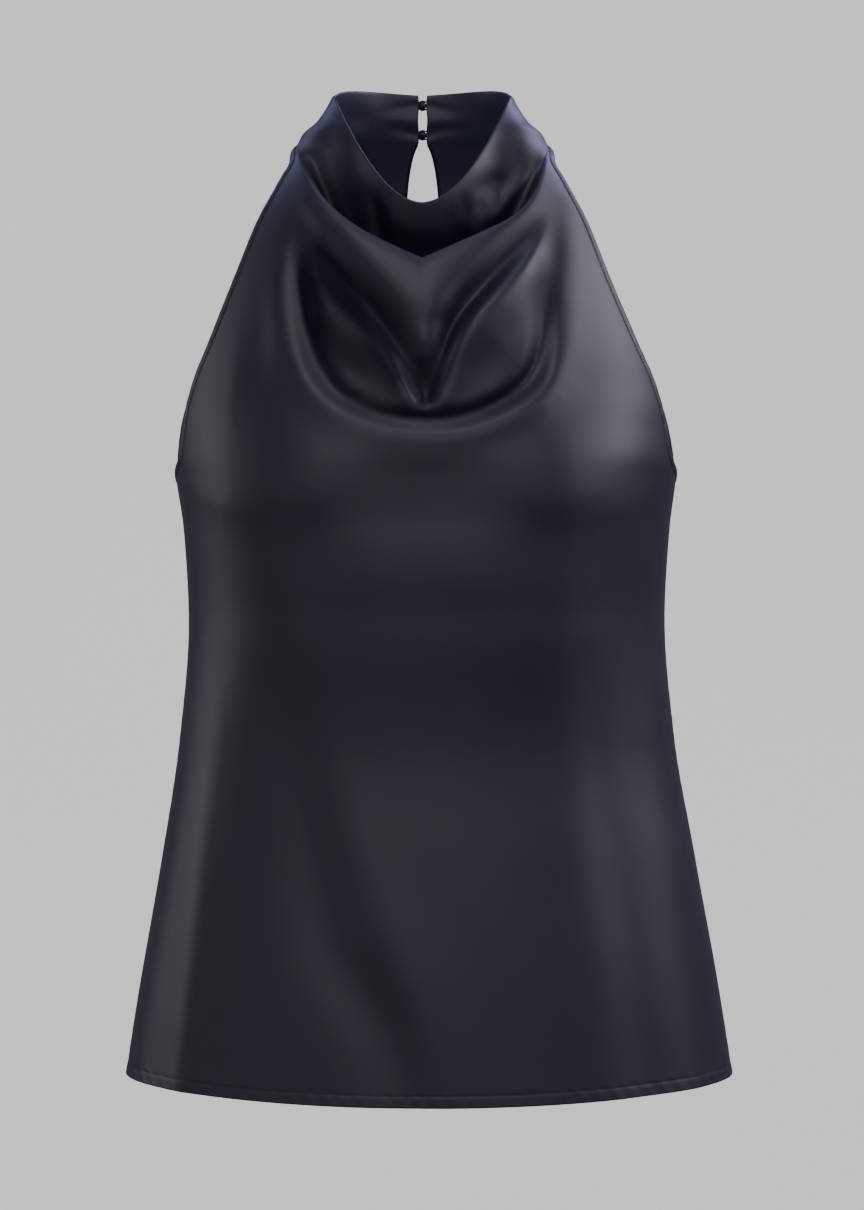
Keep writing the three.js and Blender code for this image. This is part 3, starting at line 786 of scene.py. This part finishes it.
# height: at the side. steps: how many rows lead to the next.
backRows = {
    "height": [10, 0, -28, -60, -90, -140, -200, -228, -300, -420, -540, -616],
    "steps": [8, 12, 16, 30, 16, 18, 10, 22, 32, 30, 18, 0],
}
backFolds = {
    "yoke left": fold([(-84, -14), (-70, -52), (-46, -96), (-20, -128)], [0, 3, 3, 0], 10, 9),
    "yoke right": fold([(18, -136), (44, -98), (72, -50), (85, -12)], [0, 2.6, 3.2, 0], 9, 11),
    "yoke far left": fold([(-96, -50), (-92, -110), (-78, -165)], [0, 2.4, 0], 9, 8),
    "yoke far right": fold([(78, -178), (94, -118), (99, -58)], [0, 2.8, 0], 9, 8),
    "blade left": fold([(-80, -150), (-62, -190)], [-5, -5], 46),
    "blade right": fold([(62, -190), (80, -150)], [-5, -5], 46),
    "waist crease left": fold([(-150, -290), (-110, -306), (-60, -318), (-18, -316)],
        [0, 3.2, 2.8, 0], 16, 11),
    "waist crease right": fold([(6, -334), (50, -338), (102, -322), (148, -300)], [0, 2.5, 3.5, 0], 16, 11),
    "waist swell": fold([(-120, -340), (-40, -352), (60, -360), (126, -344)], [0, -4, -3.5, 0], 15, 20),
    "low crease": fold([(-96, -372), (-30, -384), (24, -382)], [0, 2.8, 0], 10, 12),
    "flute left": fold([(-96, -390), (-108, -500), (-122, -640)], [0, 4, 7], 16, 20),
    "flute left ridge": fold([(-64, -400), (-72, -510), (-82, -640)], [0, -3.5, -6], 18, 17),
    "flute middle": fold([(-18, -410), (-26, -520), (-30, -640)], [0, 3, 5], 17, 20),
    "flute middle ridge": fold([(22, -420), (20, -530), (18, -640)], [0, -3, -4.5], 19, 18),
    "flute right": fold([(66, -380), (78, -500), (84, -640)], [0, 4, 6.5], 19, 16),
    "flute right ridge": fold([(112, -390), (126, -500), (140, -640)], [0, -3, -5], 16, 18),
    "side fold left": fold([(-150, -380), (-164, -500), (-182, -640)], [0, -2.5, -4], 12),
}


# Half the keyhole's width: a teardrop, straight at its top and round at its foot.
def keyholeHalf(z):
    down = np.clip((top["collarSeam"] - z) / keyhole["length"], 0, 1)
    return np.sqrt((1 - down) * (keyhole["topHalf"] ** 2 + keyhole["fullness"] * down))


# Points of one half of the back: the reach at each height, shared out by equal turns round the oval.
def backSurface(heights, across, direction):
    reach = reachOf("backCut", heights)
    turn = np.arcsin(np.clip(reach / shape["half"](heights), 0, 1))
    inner = keyholeHalf(heights)
    share = np.sin(across * turn) / np.sin(turn)
    x = inner + (reach - inner) * share
    drop = (top["hemCentre"] - top["hemSide"]) * smoothstep(-heights, -top["underarm"], -top["hemSide"])
    return backForm(direction * x, heights + drop * (1 - share ** 2))


backColumns = 62
backHeights = np.concatenate(
    [np.linspace(a, b, n, endpoint=False)
     for a, b, n in zip(backRows["height"], backRows["height"][1:], backRows["steps"])]
    + [top["hemSide"] + np.array(hemCells)]
)
footRows = slice(*np.searchsorted(-backHeights, [keyhole["footFrom"], keyhole["footTo"]]))
footShare = 1 - (1 - np.linspace(0, 1, footRows.stop - footRows.start, endpoint=False)) ** 2
backHeights[footRows] = -keyhole["footFrom"] - (keyhole["footTo"] - keyhole["footFrom"]) * footShare
backAcross = np.linspace(0, 1, backColumns + 1)[None, :]
backEdges = {}
backHalves = []
for direction, side in ((-1, "left"), (1, "right")):
    grid = backSurface(backHeights[:, None], backAcross, direction)
    normals = gridNormals(grid, formNormal(grid))
    fromEdge = runs(grid, 1)
    fromSeam = fromEdge[:, -1:] - fromEdge
    down = runs(grid, 0)
    sewnBack = 1 - smoothstep(grid[..., 2], top["underarm"] - 6, top["underarm"])
    beside = smoothstep(grid[..., 2], keyhole["calmFrom"], keyhole["calmTo"])
    sink = foldDepth(grid, backFolds, backForm) * (1 - beside * np.exp(-(fromEdge / 9) ** 2))
    sink = sink + sewnBack * seamSink(fromSeam, grid[..., 2], 1.0)
    sink = sink + seamSink(down, grid[..., 0], 0.8) + hemRelief(down[-1:] - down, 40 + direction * fromEdge)
    sink = sink + restless(grid, top["waves"]) * (1 - beside * (1 - smoothstep(fromEdge, 0, 12)))
    grid = grid - sink[..., None] * normals
    normals = gridNormals(grid, formNormal(grid))
    backEdges[side] = grid[:, -1].copy()
    hemRows = turnedEdge(grid[-1], grid[hemInner], normals[-1], normals[hemInner],
                         clothGrid["hemRadius"])[::-1]
    seamRow = backSurface(np.array([[top["collarSeam"] + backLap]]), backAcross, direction)
    whole = np.concatenate([seamRow, grid, hemRows])
    wholeNormals = np.concatenate([normals[:1], normals, np.repeat(normals[-1:], len(hemRows), 0)])
    whole = withAllowances(whole, wholeNormals, seamStrip["seam"], ("end",))
    backHalves.append((whole, direction))
left, right = backHalves[0][0], backHalves[1][0]
closed = left[:, 0, 2] <= top["collarSeam"] - keyhole["length"] + 0.01
meeting = (left[closed, 0] + right[closed, 0]) / 2
left[closed, 0] = right[closed, 0] = meeting
keyholeEdge = np.vstack([right[~closed, 0][1:], left[~closed, 0][1:][::-1]])
print("back halves shaped")


# Joins several sets of points and faces into one.
def joined(parts):
    points, faces, cloth, start = [], [], [], 0
    for partPoints, partFaces, partCloth in parts:
        points.append(partPoints)
        faces.append(partFaces + start)
        cloth.append(partCloth)
        start += len(partPoints)
    return np.concatenate(points), np.concatenate(faces), np.concatenate(cloth)


# Makes points that lie together one, by rounding, and drops faces that lose a corner.
def welded(points, faces, cloth, near=0.004):
    cells = np.round(points / near).astype(np.int64)
    _, first, index = np.unique(cells, axis=0, return_index=True, return_inverse=True)
    faces = index.ravel()[faces]
    kept = np.array([len(set(face)) == len(face) for face in faces.tolist()])
    return points[first], faces[kept], cloth[first]


backParts = []
for whole, direction in backHalves:
    places = clothPlaces(whole)
    places[:, 0] *= direction
    backParts.append((whole.reshape(-1, 3), gridFaces(*whole.shape[:2], flip=direction > 0), places))
backPoints, backFaces, backCloth = welded(*joined(backParts))
backPanel = makeMesh("back_panel_cloth", backPoints, backFaces, backCloth, satinCloth, "satin")
thicken(backPanel, top["wall"])
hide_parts("back_panel")
backArea = sum(gridArea(whole) for whole, _ in backHalves)
print("back panel made", backArea)


# ---- profiles carried along paths

# A strip or cord: a path with a profile of (sideways, outward) distances at each of its points, where those
# two are unit directions. run is the cloth's length at each point, and girth its width round the profile.
def carried(path, sideways, outward, profile, run, girth, closed=False):
    points = path[:, None] + profile[..., 0:1] * sideways[:, None] + profile[..., 1:2] * outward[:, None]
    around = profile.shape[1]
    cloth = np.stack([np.repeat(run, around), np.tile(np.linspace(0, girth, around), len(path))], axis=1)
    return points.reshape(-1, 3), gridFaces(len(path), around, closed, True), cloth


# The direction across a strip that edges an opening: towards the opening's middle.
def inwardFrom(path, along, outward):
    inward = np.cross(along, outward)
    return inward if np.sum(inward * (path.mean(0) - path)) >= 0 else -inward


# Points spaced evenly along a closed path.
def evenLoop(points, count):
    closed = np.vstack([points, points[:1]])
    at = runs(closed, 0)
    return pointsAt(np.linspace(0, at[-1], count, endpoint=False), at, closed), at[-1]


# Values smoothed round a closed path: each becomes a mean of itself, counted twice, and its two neighbours.
def softened(values, times):
    for _ in range(times):
        values = (np.roll(values, 1, axis=0) + 2 * values + np.roll(values, -1, axis=0)) / 4
    return values


# A rounded flat section: a superellipse of a half width and a half thickness round a middle.
def flatSection(count, middle, halfWidth, halfThickness, power=3.2):
    angles = np.linspace(0, 2 * np.pi, count, endpoint=False)
    c, s = np.cos(angles), np.sin(angles)
    return np.stack([middle + halfWidth * np.sign(c) * np.abs(c) ** (2 / power),
                     halfThickness * np.sign(s) * np.abs(s) ** (2 / power)], axis=1)


# Small stitches along a path: each is a flattened pointed bead with six sides, laid along the path.
def stitches(path, outward, settings):
    at = runs(path, 0)
    count = int(at[-1] / settings["pitch"])
    middles = (np.arange(count) + 0.5) * settings["pitch"]
    place = pointsAt(middles, at, path)
    up = unit(pointsAt(middles, at, outward))
    along = squareTo(up, pointsAt(middles + 0.5, at, path) - place)
    aside = np.cross(up, along)
    rings = np.array([[-0.5, 0.25], [-0.36, 0.9], [0.0, 1.0], [0.36, 0.9], [0.5, 0.25]])
    angles = np.linspace(0, 2 * np.pi, 6, endpoint=False)
    length, width, height = (
        np.repeat(rings[:, 0] * settings["length"], 6),
        np.outer(rings[:, 1], np.cos(angles)).ravel() * settings["radius"],
        np.outer(rings[:, 1], np.sin(angles)).ravel() * settings["radius"] * 0.8,
    )
    height = height - 0.35 * settings["radius"] * (2 * length / settings["length"]) ** 2
    points = place[:, None] + sum(
        distance[:, None] * direction[:, None]
        for distance, direction in ((length, along), (width, aside), (height, up)))
    side = gridFaces(5, 6, closedColumns=True)
    caps = np.array([[0, 1, 2, 3], [0, 3, 4, 5], [24, 27, 26, 25], [24, 29, 28, 27]])
    bead = np.vstack([side, caps])
    faces = (bead[None] + 30 * np.arange(count)[:, None, None]).reshape(-1, 4)
    cloth = np.tile(np.stack([length, width], axis=1), (count, 1))
    return points.reshape(-1, 3), faces, cloth


# ---- armhole bindings: a folded strip that closes round the raw edge, edge-stitched

binding = {
    "samples": 420,
    "middle": 1.7,
    "halfWidth": 2.7,
    "halfThickness": 0.85,
    "stitchAt": -0.2,
    "stitchSunk": 0.2,
    "ripple": 0.09,
    "fineRipple": 0.06,
    "sway": 0.12,
    "groove": 0.28,
    "grooveWidth": 0.6,
    "stitch": {"pitch": 2.5, "length": 2.0, "radius": 0.19},
}
bindings, bindingStitches = [], []


# The part of a panel's side edge that borders the armhole.
def armhole(points):
    return points[(points[:, 2] <= top["shoulderTip"] + 0.01) & (points[:, 2] >= top["underarm"] - 0.01)]


for side in ("left", "right"):
    loop = np.vstack([armhole(frontEdges[side]), armhole(backEdges[side])[::-1]])
    path, length = evenLoop(loop, binding["samples"])
    path = softened(path, 6)
    along = unit(np.roll(path, -1, axis=0) - np.roll(path, 1, axis=0))
    outward = squareTo(along, softened(formNormal(path), 10))
    inward = inwardFrom(path, along, outward)
    run = np.linspace(0, length, len(path), endpoint=False)
    # a whole number of waves of each size fits the loop, so that it closes without a step
    turn = 2 * np.pi * run / length
    waves = {size: turn * round(length / (2 * np.pi * size)) for size in (1.7, 9, 6.1, 11)}
    section = flatSection(18, binding["middle"], binding["halfWidth"], binding["halfThickness"])
    profile = np.repeat(section[None], len(path), axis=0)
    ripple = binding["ripple"] * np.sin(waves[1.7] + np.sin(waves[9]))
    ripple = 1 + ripple + binding["fineRipple"] * np.sin(waves[6.1])
    profile[..., 1] *= ripple[:, None]
    profile[..., 0] += binding["sway"] * np.sin(waves[11])[:, None]
    groove = np.exp(-((profile[..., 0] - binding["stitchAt"]) / binding["grooveWidth"]) ** 2)
    profile[..., 1] -= np.sign(profile[..., 1]) * binding["groove"] * groove
    strip = carried(path, inward, outward, profile, run, 12, closed=True)
    piece = makeMesh(f"armhole_binding_{side}_cloth", *strip, satinBias, "satin_binding")
    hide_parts(f"armhole_binding_{side}")
    seam = path + binding["stitchAt"] * inward + (binding["halfThickness"] - binding["stitchSunk"]) * outward
    closedSeam, closedOut = np.vstack([seam, seam[:1]]), np.vstack([outward, outward[:1]])
    stitch = makeMesh(f"armhole_stitches_{side}", *stitches(closedSeam, closedOut, binding["stitch"]),
                      threadFinish, "satin_cord")
    bindings.append((piece, length))
    bindingStitches.append(stitch)
print("bindings made", [round(length) for _, length in bindings])

# ---- the keyhole's narrow edge: the same kind of strip, finer, down one side and up the other

keyholeBinding = {"samples": 150, "halfWidth": 1.15, "halfThickness": 0.75, "ripple": 0.1}
at = runs(keyholeEdge, 0)
even = np.linspace(0, at[-1], keyholeBinding["samples"])
path = pointsAt(even, at, keyholeEdge)
path[2:-2] = softened(path, 2)[2:-2]
along = unit(np.gradient(path, axis=0))
outward = squareTo(along, formNormal(path))
inward = inwardFrom(path, along, outward)
section = flatSection(14, 0, keyholeBinding["halfWidth"], keyholeBinding["halfThickness"])
profile = np.repeat(section[None], len(path), axis=0)
profile[..., 1] *= (1 + keyholeBinding["ripple"] * np.sin(even / 1.6 + np.sin(even / 7)))[:, None]
keyholeStrip = makeMesh("keyhole_edge", *carried(path, inward, outward, profile, even, 6),
                        satinBias, "satin_binding")

# ---- neck band: two folded halves that round their upper edge and meet the buttons at the centre back

# standOff: from the band's middle surface to a loop, before it presses in. gap: between a ball and its loop,
# less than 0 because the loop presses in. cord: a loop's half width. threads: strands to each band half.
buttons = {
    "heights": {"button_top": 36.4, "button_lower": 16.2},
    "radius": 2.7,
    "rings": 25,
    "sides": 48,
    "standOff": 0.6,
    "gap": -0.15,
    "cord": 0.6,
    "pleats": 9,
    "pleatDepth": 0.03,
    "dimple": 0.12,
    "threads": 5,
    "threadPitch": 0.34,
    "threadSag": 0.25,
}
# swell, fall: how the top edge rises and drops towards the side. endHalf, endBow: half the slot at the centre
# back, where it is least and how much wider it is between the buttons. endRound: how far its ends taper off.
band = {
    "topCentre": 43.5,
    "swell": 1.5,
    "fall": 9.5,
    "endHalf": 2.5,
    "endBow": 0.6,
    "endRound": 0.9,
    "thickness": 1.7,
    "waves": 0.35,
    "across": 26,
    "along": 70,
}
bandFolds = {
    "pull top left": fold([(-30, 31), (-16, 35), (-5, 36.5)], [0, -0.9, -1.3], 3, 4),
    "pull low left": fold([(-26, 23), (-14, 19), (-5, 16.5)], [0, -0.9, -1.3], 4, 3),
    "slack left": fold([(-30, 27), (-16, 26.5), (-5, 26)], [0, 1.1, 0.9], 4),
    "soft left": fold([(-58, 22), (-48, 26), (-34, 26)], [0, -1.6, 0], 9, 7),
    "pull top right": fold([(5, 36.5), (15, 34), (28, 33)], [-1.1, -0.7, 0], 3, 4),
    "pull low right": fold([(5, 16.5), (15, 20), (30, 21)], [-1.1, -0.7, 0], 4, 3),
    "slack right": fold([(5, 26), (18, 26), (36, 28)], [0.9, 0.9, 0], 4),
    "soft right": fold([(40, 30), (50, 24), (60, 20)], [0, -1.3, 0], 8),
}


# The band's middle surface: turn runs from the centre back, 0, to the side of the neck, 1, and up from its
# seam, 0, to its top edge, 1. Its reach from the slot's edge grows as the sine of a quarter turn.
def bandSurface(turn, up, direction):
    upper = band["topCentre"] + band["swell"] * np.sin(np.pi * turn) - band["fall"] * turn ** 4
    z = top["collarSeam"] + (upper - top["collarSeam"]) * up
    high, low = buttons["heights"].values()
    end = band["endHalf"] + band["endBow"] * np.sin(np.pi * (z - low) / (high - low)) ** 2
    x = end + (shape["half"](z) - end) * np.sin(turn * np.pi / 2)
    return backForm(direction * x, z)


# Swells from 0 at an end to 1 as a quarter circle does, over a reach.
def roundedEnd(distance, reach, least=0):
    return np.sqrt(1 - (1 - np.clip(distance / reach, least, 1)) ** 2)


for direction, side in ((-1, "left"), (1, "right")):
    turn = np.concatenate([[0, 0.001, 0.003, 0.007, 0.012], np.linspace(0.02, 0.985, band["along"]),
                           [0.992, 0.997, 1.0]])[:, None]
    up = (0.5 - 0.5 * np.cos(np.linspace(0, np.pi, band["across"])))[None, :]
    middle = bandSurface(turn, up, direction)
    normals = gridNormals(middle, formNormal(middle))
    sink = foldDepth(middle, bandFolds, backForm) + restless(middle, band["waves"])
    middle = middle - sink[..., None] * normals
    normals = gridNormals(middle, formNormal(middle))
    fromEnd = runs(middle, 0)
    ends = roundedEnd(fromEnd, band["endRound"]) * roundedEnd(fromEnd[-1:] - fromEnd, band["endRound"])
    edges = np.sqrt(1 - np.abs(2 * up - 1) ** 26)
    half = band["thickness"] / 2 * np.maximum(ends * edges, 0.02)
    loop = np.concatenate([middle + half[..., None] * normals,
                           (middle - half[..., None] * normals)[:, ::-1][:, 1:-1]], axis=1)
    # the map of the cloth is read off one ring and one line of the grid
    around = runs(loop[30], 0)
    cloth = np.stack([np.tile(around, len(turn)), np.repeat(fromEnd[:, 5], loop.shape[1])], axis=1)
    faces = gridFaces(len(turn), loop.shape[1], False, True)
    points, faces, cloth = welded(loop.reshape(-1, 3), faces, cloth, 0.002)
    piece = makeMesh(f"neck_band_{side}", points, faces, cloth, satinBand, "satin")
    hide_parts(f"back_collar_{side}")
    gridArea(middle)
    flatSize(middle)

# ---- covered ball buttons and the rouleau loops that close over them

# Where a loop runs on the band, from its sewn end to the ball: distances sideways and up.
loopShank = [(9, 1.9), (6, 2), (3.6, 2.7)]


# A place just outside the band, where a ball's middle or a loop lies.
def offBand(x, z):
    point = backForm(np.asarray(x, float), np.asarray(z, float))
    return point + formNormal(point) * (buttons["standOff"] + buttons["gap"] + buttons["cord"])


# A ball with its pole facing out: the cloth is drawn into pleats towards its back, which sinks to a dimple.
def coveredBall(centre, outward):
    polar = np.linspace(0, np.pi, buttons["rings"])[:, None]
    turn = np.linspace(0, 2 * np.pi, buttons["sides"], endpoint=False)[None, :]
    pleats = buttons["pleatDepth"] * smoothstep(polar, 1.7, 2.9) * (1 + np.cos(buttons["pleats"] * turn))
    radius = buttons["radius"] * (1 - pleats - buttons["dimple"] * smoothstep(polar, 2.6, 3.14))
    side = unit(np.cross(outward, [0, 0, 1.0]))
    up = np.cross(side, outward)
    return (centre + (radius * np.cos(polar))[..., None] * outward
            + (radius * np.sin(polar) * np.cos(turn))[..., None] * side
            + (radius * np.sin(polar) * np.sin(turn))[..., None] * up)


for name, z in buttons["heights"].items():
    centre = offBand(0, z)
    outward = formNormal(centre)
    ball = coveredBall(centre, outward)
    rings, sides = buttons["rings"], buttons["sides"]
    cloth = np.stack([np.tile(np.linspace(0, 15, sides), rings),
                      np.repeat(np.linspace(0, 7.5, rings), sides)], axis=1)
    points, faces, cloth = welded(ball.reshape(-1, 3), gridFaces(rings, sides, False, True, flip=True), cloth)
    piece = makeMesh(f"{name}_covered", points, faces, cloth, satinCovered, "satin_covered_button")
    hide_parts(name)
    # the thread shank: strands that fan out from the ball's back to the ends of both halves of the band
    strands = []
    for i in range(2 * buttons["threads"]):
        hand = 1 if i % 2 else -1
        lift = (i // 2 - (buttons["threads"] - 1) / 2) * buttons["threadPitch"]
        start = centre + np.array([hand * 1.5, -1.2, lift])
        up = (z + 2.4 * lift - top["collarSeam"]) / (band["topCentre"] - top["collarSeam"])
        end = bandSurface(np.array(0.004), np.array(up), hand)
        way = np.linspace(0, 1, 8)[:, None]
        line = start + (end - start) * way + np.array([0, -buttons["threadSag"], 0]) * np.sin(np.pi * way)
        along = unit(np.gradient(line, axis=0))
        aside = unit(np.cross(along, [0, 0, 1.0]))
        over = np.cross(aside, along)
        ring = np.repeat(flatSection(6, 0, 0.2, 0.2, 2)[None], len(line), axis=0)
        strands.append(carried(line, aside, over, ring, np.linspace(0, 4, len(line)), 1.0))
    makeMesh(f"{name}_thread", *joined(strands), threadFinish, "satin_cord")

    # a loop runs along the band, round the ball from 60 to 300 degrees, and back
    angles = np.radians(np.arange(60, 301, 20))
    around = buttons["radius"] + buttons["gap"] + buttons["cord"]
    route = np.array(loopShank + [(around * np.cos(a), around * np.sin(a)) for a in angles]
                     + [(x, -up) for x, up in loopShank[::-1]])
    line = smoothLine(offBand(route[:, 0], z + route[:, 1]), 90)
    along = unit(np.gradient(line, axis=0))
    over = squareTo(along, formNormal(line))
    aside = np.cross(along, over)
    run = np.linspace(0, 1, len(line))
    # a round cord with a soft seam that winds slowly round it, and ends that run in under the band's edge
    angle = np.linspace(0, 2 * np.pi, 12, endpoint=False)[None, :]
    seam = 1 - 0.1 * np.exp(-((np.angle(np.exp(1j * (angle - 5 * run[:, None])))) / 0.5) ** 2)
    taper = roundedEnd(np.minimum(run, 1 - run), 0.02, 0.05)
    size = buttons["cord"] * seam * ((1 + 0.03 * np.sin(run * 120)) * taper)[:, None]
    profile = np.stack([size * np.cos(angle), size * np.sin(angle)], axis=-1)
    loopName = name.replace("button", "loop")
    piece = makeMesh(f"{loopName}_rouleau", *carried(line, aside, over, profile, run * 30, 3.8), satinBias,
                     "satin_cord")
    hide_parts(loopName)
print("buttons and loops made")

# ---- hem stitches

hemStitch = {"pitch": 2.7, "length": 2.1, "radius": 0.2, "proud": 0.3}
hemLines = [(frontPoints[hemStitchRow], frontNormals[hemStitchRow])]
for whole, _ in backHalves:
    stitchRow = whole[len(backHeights) + 1 + hemStitchRow][:-1]
    hemLines.append((stitchRow, formNormal(stitchRow)))
hemParts = [stitches(line + hemStitch["proud"] * out, out, hemStitch) for line, out in hemLines]
hemStitches = makeMesh("hem_stitches", *joined(hemParts), threadFinish, "satin_cord")
print("hem stitched")

# ---- sheets: the size of each piece of cloth before it was sewn

flatSize(frontGrid)
gridArea(frontGrid)
flatSize(*[whole for whole, _ in backHalves])

# ---- stage: a wide pale bowl with a flat floor

# in metres; its wall is half an oval from the floor's edge to the ceiling's
stage = {
    "floor": -2.1,
    "height": 10,
    "flatRadius": 5.0,
    "innerRadius": 2.5,
    "radius": 8.0,
    "sides": 96,
    "colour": (0.8, 0.79, 0.78),
    "glow": 1.0,
}
rise = np.linspace(0, np.pi, 40)
bulge = stage["flatRadius"] + (stage["radius"] - stage["flatRadius"]) * np.sin(rise)
bowlR = np.concatenate([[0, stage["innerRadius"]], bulge, [stage["innerRadius"], 0]])
bowlRise = stage["height"] / 2 * (1 - np.cos(rise))
bowlZ = np.concatenate([[0, 0], bowlRise, [stage["height"]] * 2]) + stage["floor"]
turns = np.linspace(0, 2 * np.pi, stage["sides"], endpoint=False)[:, None]
bowl = np.stack([bowlR * np.cos(turns), bowlR * np.sin(turns), bowlZ + 0 * turns], axis=-1)
bowlMesh = bpy.data.meshes.new("studio_bowl")
bowlFaces = gridFaces(stage["sides"], len(bowlR), closedRows=True)
bowlMesh.from_pydata(bowl.reshape(-1, 3).tolist(), [], bowlFaces.tolist())
bowlMesh.polygons.foreach_set("use_smooth", np.ones(len(bowlMesh.polygons), dtype=bool))
bowlShader = Shader("studio_plaster")
tone = bowlShader.noise(bowlShader.node("ShaderNodeTexCoord", {}, {}, output=3), 0.7)
bowlColour = bowlShader.mixColour(tone, stage["colour"], tuple(c * 0.97 for c in stage["colour"]))
bowlMesh.materials.append(bowlShader.finish(Base_Color=bowlColour, Roughness=0.9, Emission_Color=bowlColour,
                                            Emission_Strength=stage["glow"]))
bowlObject = bpy.data.objects.new("studio_bowl", bowlMesh)
bowlObject.visible_glossy = bowlObject.visible_diffuse = bowlObject.visible_shadow = False
bpy.context.scene.collection.objects.link(bowlObject)
print("stage made")
